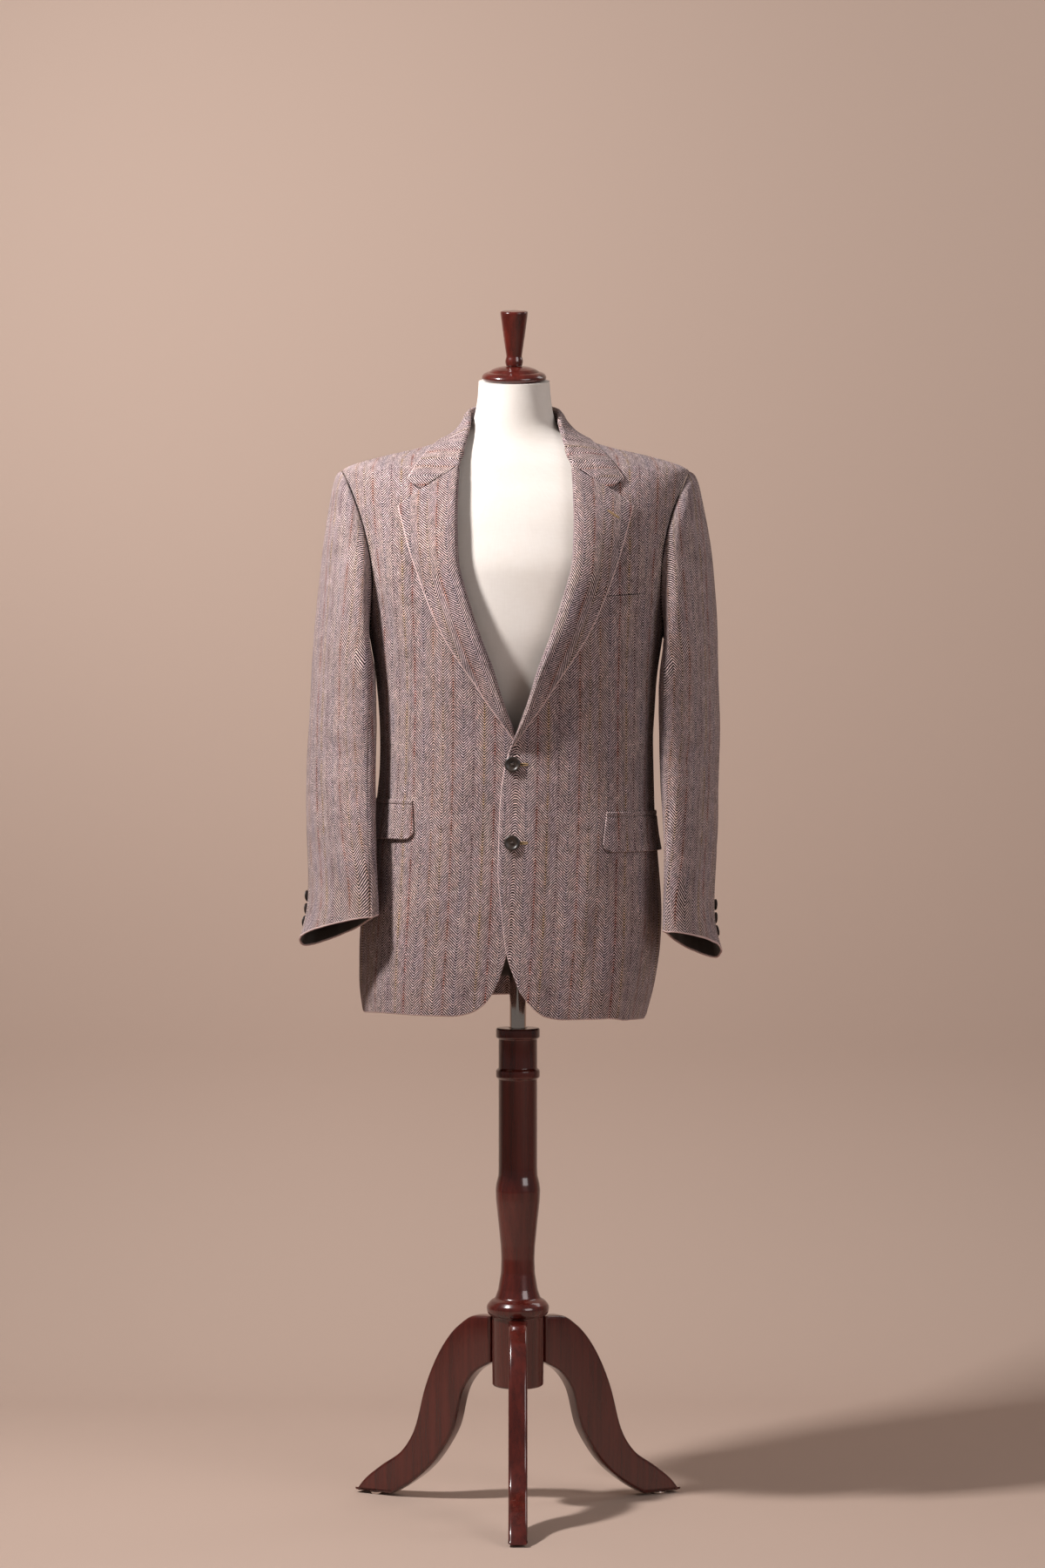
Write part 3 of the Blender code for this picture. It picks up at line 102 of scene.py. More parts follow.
BODY = Table(("z", "half_width", "front", "back", "middle", "square"), (
    (0.640, 0.184, 0.146, 0.138, -0.0175, 2.30),
    (0.700, 0.195, 0.145, 0.135, -0.0135, 2.30),
    (0.760, 0.198, 0.143, 0.131, -0.0095, 2.30),
    (0.840, 0.192, 0.140, 0.124, -0.0060, 2.35),
    (0.920, 0.184, 0.137, 0.114, -0.0035, 2.40),
    (1.000, 0.180, 0.135, 0.107, -0.0020, 2.40),
    (1.080, 0.184, 0.137, 0.113, -0.0015, 2.35),
    (1.150, 0.193, 0.139, 0.123, -0.0015, 2.30),
    (1.220, 0.206, 0.133, 0.129, -0.0020, 2.25),
    (1.290, 0.218, 0.117, 0.125, -0.0025, 2.20),
    (1.340, 0.2265, 0.098, 0.113, -0.0030, 2.10),
    (1.368, 0.2300, 0.085, 0.099, -0.0030, 1.85),
    (1.375, 0.2220, 0.081, 0.095, -0.0035, 1.72),
    (1.382, 0.2030, 0.077, 0.090, -0.0040, 1.62),
    (1.391, 0.1690, 0.071, 0.084, -0.0040, 1.58),
    (1.400, 0.1290, 0.065, 0.078, -0.0040, 1.66),
    (1.411, 0.0940, 0.060, 0.073, -0.0040, 1.85),
    (1.4225, 0.0750, 0.055, 0.067, -0.0045, 2.00),
    (1.440, 0.0640, 0.051, 0.061, -0.0050, 2.00)))

# Soft ridges (+) and troughs (-) that hang in the cloth: the middle of each, its reach round
# the body and up it, how far it leans round for each metre up, and its height.
FOLDS = (
    # turn, z, reach_turn, reach_z, lean, height
    (-0.50, 1.210, 0.070, 0.060, -0.90, 0.0035),
    (-0.62, 1.160, 0.045, 0.080, -0.60, -0.0030),
    (0.56, 1.170, 0.060, 0.090, 0.70, -0.0030),
    (0.44, 0.700, 0.110, 0.120, 0.15, 0.0045),
    (0.70, 0.690, 0.100, 0.110, -0.10, -0.0035),
    (-0.42, 0.700, 0.120, 0.130, -0.15, 0.0035),
    (-0.72, 0.720, 0.090, 0.120, 0.10, -0.0030),
    (1.30, 0.720, 0.090, 0.160, 0.10, 0.0040),
    (-1.34, 0.730, 0.100, 0.150, -0.10, 0.0040),
    (1.62, 1.020, 0.120, 0.040, 0.90, -0.0030),
    (-1.60, 1.040, 0.120, 0.040, -0.90, -0.0030),
    (1.48, 1.240, 0.050, 0.100, 0.30, 0.0035),
    (-1.48, 1.240, 0.050, 0.100, -0.30, 0.0035))

# Heights of the roll line (where the front turns back into the lapel) and its reach from centre.
ROLL = Table(("z", "reach"), (
    (1.025, 0.0005), (1.070, 0.0165), (1.108, 0.0280), (1.147, 0.0427), (1.200, 0.0600),
    (1.250, 0.0725), (1.305, 0.0745), (1.368, 0.0725), (1.4055, 0.0645)))
MIDDLE_LINE = -0.003       # the opening's middle, across

# Free edge of the turned lapel, from below the opening to its tip.
LAPEL_EDGE = Table(("z", "reach"), (
    (0.998, -0.0100), (1.020, 0.0065), (1.040, 0.0205), (1.065, 0.0385), (1.092, 0.0560),
    (1.122, 0.0765), (1.152, 0.0945), (1.184, 0.1095), (1.250, 0.1335), (1.290, 0.1450),
    (1.3195, 0.1530)))
NECK_SETBACK = 0.0040      # and further still where the collar's stand passes it
FRONT_NECKLINE = ((0.50, 1.4035), (0.74, 1.4120), (1.00, NECK_POINT_Z))   # turn and height
BACK_NECKLINE = ((0.72, 1.4220), (0.40, 1.4290), (0.00, BACK_NECK_Z))      # share of half width, z
GORGE = (0.0735, 1.3690)   # reach and height where collar and lapel part at the roll
NOTCH = (0.1225, 1.3408)
LAPEL_TIP = (0.1530, 1.3195)

LAPEL_LOW_LEFT = 0.999     # the left lapel breaks at the first button, the right one above it
LAPEL_LOW_RIGHT = 1.034
LAPEL_LOW_DROP = 0.0100
LAPEL_LOW_WIDTH = 0.0030
LAPEL_BELLY = 0.0042       # how far the soft roll stands off the front

# Half the collar, from centre back (share 0) to the gorge (share 1): the line that it is folded
# over, then the turn round the body and height of its neck seam and of its outer edge.
COLLAR_COLUMNS = ("share", "fold_x", "fold_y", "fold_z", "seam_turn", "seam_z",
                  "edge_turn", "edge_z")
COLLAR = Table(COLLAR_COLUMNS, (
    (0.00, 0.0000, 0.0635, 1.4600, 2.000, 1.4335, 2.000, 1.4060),
    (0.15, 0.0300, 0.0570, 1.4585, 1.660, 1.4310, 1.640, 1.4055),
    (0.30, 0.0510, 0.0370, 1.4540, 1.330, 1.4255, 1.300, 1.4065),
    (0.45, 0.0600, 0.0080, 1.4470, 1.060, 1.4200, 0.990, 1.4093),
    (0.60, 0.0600, -0.0210, 1.4350, 0.760, 1.4150, 0.781, 1.4045),
    (0.75, 0.0655, -0.0480, 1.4100, 0.480, 1.4065, 0.537, 1.3915),
    (0.88, 0.0715, -0.0690, 1.3870, 0.262, 1.3895, 0.412, 1.3738),
    (1.00, 0.0740, -0.0810, 1.3700, 0.212, 1.3715, 0.4216, 1.3560)))
NOTCH_STEP = 0.75          # share of the fall's width at which the collar's end meets the notch
NOTCH_FROM = 0.72          # share of the half collar from which its fall bends towards it
COLLAR_WALL = 0.0022
FOLD_RADIUS = 0.0026       # of the collar's middle layer
COLLAR_BELLY = 0.0020      # roundness of the fall

# Front edges below the opening, x and z, from the hem up. The left one shows, the right lies under.
EDGE_LEFT = ((0.0587, 0.6555), (0.0374, 0.6590), (0.0200, 0.6700), (0.0026, 0.6915),
             (-0.0098, 0.7240), (-0.0158, 0.7450), (-0.0221, 0.7990), (-0.0261, 0.8520),
             (-0.0244, 0.9170), (-0.0210, 0.9597), (-0.0131, 0.9978), (-0.0035, 1.0200))
EDGE_RIGHT = ((-0.0865, 0.6605), (-0.0613, 0.6650), (-0.0389, 0.6810), (-0.0243, 0.7080),
              (-0.0158, 0.7360), (-0.0080, 0.7700), (-0.0010, 0.8100), (0.0045, 0.8600),
              (0.0075, 0.9200), (0.0065, 0.9700), (0.0020, 1.0080), (-0.0040, 1.0250))
EDGE_CORNER = 3            # the row of each edge where the hem is taken to turn into it
HEM_TURNS = (0.47, 0.60, 0.72, SIDE_SEAM)     # where the hem is read from there to the side seam
OPENING_LEVELS = (1.045, 1.070, 1.108, 1.147, 1.200, 1.250, 1.305, 1.350, 1.370, 1.388)
NECK_SETBACK_FROM = 1.350  # height from which the further setback grows, over this height
NECK_SETBACK_RAMP = 0.020

HEM = Table(("turn", "left_z", "right_z"), (
    (0.20, 0.6555, 0.6615), (0.45, 0.6560, 0.6610), (0.62, 0.6505, 0.6610), (0.84, 0.6490, 0.6575),
    (1.20, 0.6560, 0.6600), (1.60, 0.6650, 0.6660), (2.00, 0.6690, 0.6690)))

# One row for each ring of a sleeve, top to cuff: its outer and inner points seen from the front,
# then its middle and half depth along Y, how far the outer side lies behind the inner one, how
# much its front and back bow towards the body, and how steeply its front is lifted.
SLEEVE_COLUMNS = ("out_x", "out_z", "in_x", "in_z", "mid_y", "deep", "shear", "bow", "pitch")
SLEEVE_RIGHT = (
    (0.2395, 1.3655, 0.1965, 1.1460, 0.001, 0.0690, 0.010, 0.0190, 0.00),
    (0.2475, 1.3400, 0.1935, 1.1380, -0.001, 0.0740, 0.024, 0.0150, 0.00),
    (0.2550, 1.2980, 0.1900, 1.1270, -0.004, 0.0740, 0.036, 0.0100, 0.00),
    (0.2625, 1.2430, 0.1870, 1.1130, -0.007, 0.0690, 0.044, 0.0050, 0.02),
    (0.2690, 1.1800, 0.1850, 1.0960, -0.010, 0.0620, 0.049, 0.0010, 0.04),
    (0.2738, 1.1080, 0.1845, 1.0700, -0.012, 0.0570, 0.051, 0.0, 0.06),
    (0.2775, 1.0430, 0.1845, 1.0320, -0.015, 0.0540, 0.050, 0.0, 0.08),
    (0.2803, 0.9750, 0.1845, 0.9760, -0.023, 0.0510, 0.048, 0.0, 0.12),
    (0.2795, 0.9050, 0.1845, 0.9150, -0.037, 0.0480, 0.046, 0.0, 0.18),
    (0.2758, 0.8420, 0.1830, 0.8560, -0.052, 0.0440, 0.042, 0.0, 0.25),
    (0.2775, 0.7980, 0.1812, 0.8160, -0.063, 0.0400, 0.038, 0.0, 0.31),
    (0.2873, 0.7600, 0.1800, 0.7815, -0.073, 0.0360, 0.035, 0.0, 0.36))
SLEEVE_LEFT = (
    (0.2350, 1.3630, 0.1935, 1.1460, 0.001, 0.0690, 0.010, 0.0190, 0.00),
    (0.2440, 1.3360, 0.1905, 1.1380, -0.001, 0.0740, 0.024, 0.0150, 0.00),
    (0.2530, 1.2940, 0.1880, 1.1270, -0.004, 0.0740, 0.036, 0.0100, 0.00),
    (0.2600, 1.2400, 0.1855, 1.1130, -0.007, 0.0690, 0.044, 0.0050, 0.02),
    (0.2643, 1.1800, 0.1840, 1.0960, -0.010, 0.0620, 0.049, 0.0010, 0.04),
    (0.2665, 1.1080, 0.1835, 1.0700, -0.012, 0.0570, 0.051, 0.0, 0.06),
    (0.2680, 1.0430, 0.1840, 1.0320, -0.015, 0.0540, 0.050, 0.0, 0.08),
    (0.2665, 0.9750, 0.1850, 0.9760, -0.023, 0.0520, 0.048, 0.0, 0.12),
    (0.2640, 0.9020, 0.1875, 0.9120, -0.037, 0.0500, 0.044, 0.0, 0.18),
    (0.2588, 0.8300, 0.1893, 0.8450, -0.050, 0.0470, 0.040, 0.0, 0.25),
    (0.2590, 0.7850, 0.1885, 0.8020, -0.059, 0.0450, 0.036, 0.0, 0.30),
    (0.2680, 0.7440, 0.1870, 0.7620, -0.066, 0.0430, 0.033, 0.0, 0.34))

EVEN_RING = 5              # the sleeve ring from which the points are evenly spread
UNDER_SLEEVE_TO = 3        # steps past the underarm arc at which the under sleeve ends

# Steps round the armhole and the sleeve: front arc, underarm arc, back arc.
FRONT_ARC = 8
UNDER_ARC = 4
BACK_ARC = 8
SIDE_ROWS = 10             # rows of cloth from the hem to the underarm

# The dress form under the jacket. Its shoulders follow the jacket's, just below the cloth.
FORM = Table(("z", "half_width", "front", "back", "middle", "square"), (
    (0.790, 0.148, 0.104, 0.102, 0.0, 2.2),
    (0.800, 0.153, 0.108, 0.106, 0.0, 2.2),
    (0.860, 0.163, 0.116, 0.112, 0.0, 2.2),
    (0.930, 0.156, 0.112, 0.100, 0.0, 2.2),
    (1.000, 0.148, 0.106, 0.090, 0.0, 2.2),
    (1.080, 0.156, 0.113, 0.094, -0.0005, 2.2),
    (1.160, 0.167, 0.123, 0.104, -0.0015, 2.2),
    (1.230, 0.175, 0.122, 0.109, -0.0020, 2.2),
    (1.290, 0.181, 0.107, 0.105, -0.0025, 2.2),
    (1.330, 0.184, 0.091, 0.094, -0.0030, 2.2),
    (1.352, 0.184, 0.079, 0.084, -0.0030, 2.2),
    (1.3650, 0.1810, 0.073, 0.079, -0.0035, 2.10),
    (1.3765, 0.1740, 0.068, 0.075, -0.0040, 2.00),
    (1.3872, 0.1580, 0.062, 0.069, -0.0040, 1.90),
    (1.3972, 0.1230, 0.057, 0.064, -0.0040, 1.90),
    (1.4080, 0.0890, 0.052, 0.060, -0.0040, 1.95),
    (1.4190, 0.0675, 0.049, 0.056, -0.0045, 2.00),
    (1.4310, 0.0560, 0.0475, 0.053, -0.0050, 2.00),
    (1.4500, 0.0508, 0.0470, 0.0505, -0.0050, 2.00),
    (1.4700, 0.0480, 0.0465, 0.0480, -0.0048, 2.00),
    (1.4885, 0.0468, 0.0460, 0.0468, -0.0050, 2.00)))
NECK_X = -0.0050           # the neck leans a little to the wearer's right
NECK_TOP_Z = 1.4885        # middle of its top, which slopes down to the front
NECK_TILT = 10.0           # degrees that the top, its cap and the finial lean forwards
NECK_SLOPE_FROM = 1.450    # height at which the rings begin to slope

# Turned profiles, radius and height, from the top of the outer side down. The first two stand on
# the sloping top of the neck.
NECK_CAP = ((0.0110, 0.0198), (0.0200, 0.0185), (0.0280, 0.0160), (0.0325, 0.0132),
            (0.0335, 0.0121), (0.0365, 0.0116), (0.0400, 0.0097), (0.0424, 0.0068),
            (0.0428, 0.0048), (0.0415, 0.0020), (0.0390, 0.0003))
FINIAL = ((0.0165, 0.0926), (0.0182, 0.0912), (0.0180, 0.0880), (0.0142, 0.0600),
          (0.0108, 0.0370), (0.0102, 0.0328), (0.0114, 0.0290), (0.0118, 0.0262),
          (0.0114, 0.0232), (0.0106, 0.0202))
ROD_RADIUS = 0.0110
ROD_TOP = 0.7700
ROD_BOTTOM = 0.3000
BORE_RADIUS = 0.01145
SOCKET = ((0.0450, 0.7897), (0.0450, 0.7840), (0.0430, 0.7830), (0.0220, 0.7800), (0.0190, 0.7780),
          (0.0190, 0.7450), (0.0175, 0.7435))
SOCKET_TOP = 0.7703        # end of the blind hole that the rod stands in
COLUMN = ((0.0275, 0.6350), (0.0290, 0.6335), (0.0290, 0.6230), (0.0275, 0.6215),
          (0.0256, 0.6205), (0.0256, 0.5820), (0.0275, 0.5805), (0.0290, 0.5790),
          (0.0290, 0.5705), (0.0275, 0.5690), (0.0256, 0.5675), (0.0256, 0.4500),
          (0.0260, 0.4400), (0.0285, 0.4300), (0.0296, 0.4210), (0.0290, 0.4080),
          (0.0255, 0.3750), (0.0228, 0.3480), (0.0220, 0.3310), (0.0226, 0.3120),
          (0.0262, 0.2900), (0.0300, 0.2790), (0.0360, 0.2755), (0.0405, 0.2700),
          (0.0415, 0.2660), (0.0405, 0.2600), (0.0370, 0.2560), (0.0340, 0.2545),
          (0.0340, 0.1650), (0.0315, 0.1625))
LEG_OUTER = ((0.0346, 0.2530), (0.0600, 0.2520), (0.0860, 0.2370), (0.1080, 0.2120),
             (0.1260, 0.1800), (0.1380, 0.1500), (0.1550, 0.0920), (0.1750, 0.0620),
             (0.2080, 0.0390), (0.2330, 0.0190), (0.2460, 0.0034))
LEG_INNER = ((0.1900, 0.0034), (0.1650, 0.0180), (0.1320, 0.0440), (0.1080, 0.0740),
             (0.0920, 0.1030), (0.0790, 0.1500), (0.0600, 0.1770), (0.0346, 0.1920))
LEG_THICK = 0.0245
LEG_TURNS = {"leg_front": -90, "leg_left": 30, "leg_right": 150}
GLIDE_RADIUS = 0.0100
GLIDE_REACH = 0.2180
GLIDE_HEIGHT = 0.0030

# Where the flaps start, how far they run back round the body, and their heights at the front end.
FLAP = Table(("side", "front_x", "top_z", "bottom_z"), (
    (-1.0, 0.1360, 0.9325, 0.8870), (1.0, 0.1130, 0.9167, 0.8710)))
FLAP_LENGTH = 0.150
FLAP_STAND = 0.0034        # how far its lower edge stands off
JET_WALL = 0.0016
JET_HEIGHT = 0.0055
# x and z of the welt's corners.
WELT = ((0.1045, 1.1700), (0.1620, 1.1780), (0.1150, 1.2005), (0.1605, 1.2050))
FRONT_BUTTONS = ((-0.0070, 0.9850), (-0.0075, 0.8840))
FRONT_BUTTON_RADIUS = 0.0103
CUFF_BUTTON_RADIUS = 0.0075
CUFF_BUTTON_ROW = (1.57, 1.20, 0.81)    # ring spacings up from the cuff
CUFF_BUTTON_LOOP = 0.035                # turns round the sleeve behind the outermost line
BUTTON_SEAT = 0.0006                    # the thread shank's height
LINING_WALL = 0.0010


# ---------------------------------------------------------------- shared sums
def unit(ways):
    """Directions of length one."""
    return ways / np.linalg.norm(ways, axis=-1, keepdims=True)


def square_to(way, other):
    """The direction nearest to a way that is square to another, unit one."""
    return unit(way - np.sum(way * other, axis=-1, keepdims=True) * other)


def eased(share):
    """Smooth step of a share from 0 to 1."""
    return share * share * (3 - 2 * share)


def rounding(near):
    """Drop of a quarter circle of radius one: 1 at its outer edge, 0 where it meets the flat."""
    return 1 - np.sqrt(1 - near ** 2)


def run_from(points, axis, backwards=False):
    """Length along a grid's lines from one border."""
    step = np.linalg.norm(np.diff(points, axis=axis), axis=-1)
    zero = np.zeros_like(np.take(step, [0], axis=axis))
    along = np.concatenate([zero, np.cumsum(step, axis=axis)], axis=axis)
    return np.take(along, [-1], axis=axis) - along if backwards else along


def squares(rows, columns):
    """Numbers of a grid's points, and its quads."""
    index = np.arange(rows * columns).reshape(rows, columns)
    corners = index[:-1, :-1], index[:-1, 1:], index[1:, 1:], index[1:, :-1]
    return index, np.stack(corners, -1).reshape(-1, 4)


def bands(rows, around, closed=False):
    """Quads between rings of points; closed joins the last ring to the first."""
    return [[i * around + j, i * around + (j + 1) % around,
             (i + 1) % rows * around + (j + 1) % around, (i + 1) % rows * around + j]
            for i in range(rows if closed else rows - 1) for j in range(around)]


def fans(rows, around, first):
    """Triangles from the first and last ring to the two points numbered from first on."""
    return [[row * around + j, row * around + (j + 1) % around, first + end]
            for end, row in enumerate((0, rows - 1)) for j in range(around)]


def put(name, data):
    """A new object in the scene."""
    thing = bpy.data.objects.new(name, data)
    bpy.context.scene.collection.objects.link(thing)
    return thing


# ---------------------------------------------------------------- the body surface
def body_ring(table, turn, z):
    """Point of a ring table's surface, before folds."""
    angle = np.asarray(turn, float) * math.pi / 2
    square = table.at(z, "square")
    across, along = np.sin(angle), np.cos(angle)
    reach = (np.abs(across) ** square + np.abs(along) ** square) ** (-1 / square)
    depth = np.where(along > 0, table.at(z, "front"), table.at(z, "back"))
    x = table.at(z, "middle") + table.at(z, "half_width") * reach * across
    y = -depth * reach * along
    return np.stack(np.broadcast_arrays(x, y, z), -1)


def normal_of(table, turn, z):
    """Outward direction of a ring table's surface."""
    step_turn, step_z = 0.0015, 0.0006
    round_it = body_ring(table, turn + step_turn, z) - body_ring(table, turn - step_turn, z)
    up_it = body_ring(table, turn, z + step_z) - body_ring(table, turn, z - step_z)
    return unit(np.cross(round_it, up_it))


def turn_at(x, z):
    """Turn of the front point that lies at x, seen from the front."""
    square = BODY.at(z, "square")
    share = (np.asarray(x, float) - BODY.at(z, "middle")) / BODY.at(z, "half_width")
    share = np.clip(share, -0.99999, 0.99999)
    small = np.maximum(np.abs(share), 1e-9)
    along = np.maximum(small ** -square - 1, 0.0) ** (1 / square)
    return np.sign(share) * np.arctan2(1.0, along) * 2 / math.pi


def crowded(count, start=1.0, end=1.0):
    """Shares from 0 to 1, closer together at the start or the end for a power over 1 there."""
    even = np.linspace(0, 1, count)
    return 1 - (1 - even ** start) ** end


def path(points, count, start=1.0, end=1.0):
    """Points on a smooth line, spread by its length as crowded() says."""
    points = np.array(points, float)
    along = run_from(points, 0)
    at = along[-1] * crowded(count, start, end)
    return np.stack([smooth(along, points[:, k], at) for k in range(points.shape[1])], -1)


def coons(left, bottom, right, top):
    """Grid of flat pattern points spanned by four border lines."""
    rows, columns = len(left), len(bottom)
    v = np.linspace(0, 1, rows)[:, None, None]
    u = np.linspace(0, 1, columns)[None, :, None]
    return ((1 - u) * left[:, None] + u * right[:, None] + (1 - v) * bottom[None] + v * top[None]
            - (1 - u) * (1 - v) * bottom[0] - u * (1 - v) * bottom[-1]
            - (1 - u) * v * top[0] - u * v * top[-1])


def half_width(z):
    return BODY.at(z, "half_width")


def front_pattern(x, z, side):
    """Pattern points of places seen from the front, for one side."""
    x, z = np.asarray(x, float), np.asarray(z, float)
    return np.stack([side * turn_at(x, z) * half_width(z), z], -1)


def armhole(loop):
    """Turn and height at loop turns round the armhole: 0 top, 0.25 front, 0.5 under."""
    angle = np.asarray(loop, float) * 2 * math.pi
    reach = np.where(np.sin(angle) > 0, ARM_FRONT, ARM_BACK)
    middle = (ARM_TOP_Z + ARM_BOTTOM_Z) / 2
    z = middle + (ARM_TOP_Z - ARM_BOTTOM_Z) / 2 * np.cos(angle)
    return 1 - reach * np.sin(angle), z


def loop_at(turn):
    """Loop turn of the lower armhole point that lies on a seam."""
    reach = ARM_FRONT if turn < 1 else ARM_BACK
    share = math.asin(abs(1 - turn) / reach) / (2 * math.pi)
    return 0.5 - share if turn < 1 else 0.5 + share


def arm_loops():
    """Loop turns at which the armhole is stepped, from the top round by the front."""
    fore, hind = loop_at(SIDE_SEAM), loop_at(BACK_SEAM)
    front = np.linspace(0, fore, FRONT_ARC + 1)
    under = np.linspace(fore, hind, UNDER_ARC + 1)
    back = np.linspace(hind, 1, BACK_ARC + 1)
    return front, under, back


def hem_z(turn, side):
    return HEM.at(turn, "left_z" if side > 0 else "right_z")


def overlap_lift(turn, z, side):
    """The left front rides over the right one near centre front, below the opening."""
    if side < 0:
        return 0.0
    x = body_ring(BODY, turn, z)[..., 0]
    share = np.clip((OVERLAP_END - x) / OVERLAP_RAMP, 0, 1) * (np.abs(turn) < 1)
    return OVERLAP_LIFT * eased(share)


def sleeve_ring(row, loop, side):
    """One ring of a sleeve at loop turns: 0 outer or top, 0.25 front, 0.5 inner, 0.75 back."""
    size = dict(zip(SLEEVE_COLUMNS, row))
    angle = np.asarray(loop, float) * 2 * math.pi
    over, front = np.cos(angle), np.sin(angle)
    x = (size["out_x"] + size["in_x"]) / 2 + (size["out_x"] - size["in_x"]) / 2 * over
    z = (size["out_z"] + size["in_z"]) / 2 + (size["out_z"] - size["in_z"]) / 2 * over
    y = size["mid_y"] - size["deep"] * front + size["shear"] * over
    x = side * (x - size["bow"] * front ** 2)
    z = z - size["pitch"] * (y - size["mid_y"])
    return np.stack([x, y, z], -1)


def turn_of(x, y, z):
    """Turn of the body direction in which a point lies."""
    depth = np.where(np.asarray(y) < 0, BODY.at(z, "front"), BODY.at(z, "back"))
    return np.arctan2((x - BODY.at(z, "middle")) / half_width(z), -y / depth) * 2 / math.pi


def fall_place(share, step):
    """Turn and height on the collar's fall: step 0 at the fold, 1 at its outer edge."""
    x, y, z = (COLLAR.at(share, f"fold_{axis}") for axis in "xyz")
    fold = np.array([turn_of(x + BODY.at(z, "middle"), y, z), z])
    edge = np.array([COLLAR.at(share, "edge_turn"), COLLAR.at(share, "edge_z")])
    straight = fold + (edge - fold) * step
    notch = np.array([turn_at(NOTCH[0] + BODY.at(NOTCH[1], "middle"), NOTCH[1]), NOTCH[1] + SEAM])
    bent = (fold + (notch - fold) * step / NOTCH_STEP if step < NOTCH_STEP
            else notch + (edge - notch) * (step - NOTCH_STEP) / (1 - NOTCH_STEP))
    weight = np.clip((share - NOTCH_FROM) / (1 - NOTCH_FROM), 0, 1) ** 2
    return straight + (bent - straight) * weight


def run_back(x, z, length, side):
    """Turn reached by going back round the body from x by a length."""
    turns = side * np.linspace(abs(float(turn_at(x, z))), 1.4, 200)
    return np.interp(length, run_from(body_ring(BODY, turns, z), 0), turns)


def row_above_cuff(rows, place):
    """A sleeve's row at so many ring spacings up from the cuff."""
    whole = int(place)
    share = place - whole
    return np.array(rows[-1 - whole]) * (1 - share) + np.array(rows[-2 - whole]) * share


# ---------------------------------------------------------------- shader sums
class Sum:
    """A number in a shader tree that can be reckoned with."""

    def __init__(self, tree, socket):
        self.tree = tree
        self.socket = socket

    def made(self, operation, *values):
        node = self.tree.nodes.new("ShaderNodeMath")
        node.operation = operation
        for place, value in zip(node.inputs, (self,) + values):
            if isinstance(value, Sum):
                self.tree.links.new(value.socket, place)
            else:
                place.default_value = value
        return Sum(self.tree, node.outputs[0])

    def __add__(self, other):
        return self.made("ADD", other)

    def __sub__(self, other):
        return self.made("SUBTRACT", other)

    def __mul__(self, other):
        return self.made("MULTIPLY", other)

    def __truediv__(self, other):
        return self.made("DIVIDE", other)

    def fract(self):
        return self.made("FRACT")

    def floor(self):
        return self.made("FLOOR")

    def mod(self, other):
        return self.made("FLOORED_MODULO", other)

    def below(self, other):
        return self.made("LESS_THAN", other)

    def above(self, other):
        return self.made("GREATER_THAN", other)

    def flip(self):
        return (self * -1.0) + 1.0

    def hump(self):
        """A round hump over each whole number's span."""
        off = self.fract() * 2.0 - 1.0
        return (off * off).flip()

    def ramp(self, low, high):
        """Smooth step from 0 at low to 1 at high."""
        node = self.tree.nodes.new("ShaderNodeMapRange")
        node.interpolation_type = "SMOOTHSTEP"
        self.tree.links.new(self.socket, node.inputs["Value"])
        node.inputs["From Min"].default_value = low
        node.inputs["From Max"].default_value = high
        return Sum(self.tree, node.outputs["Result"])


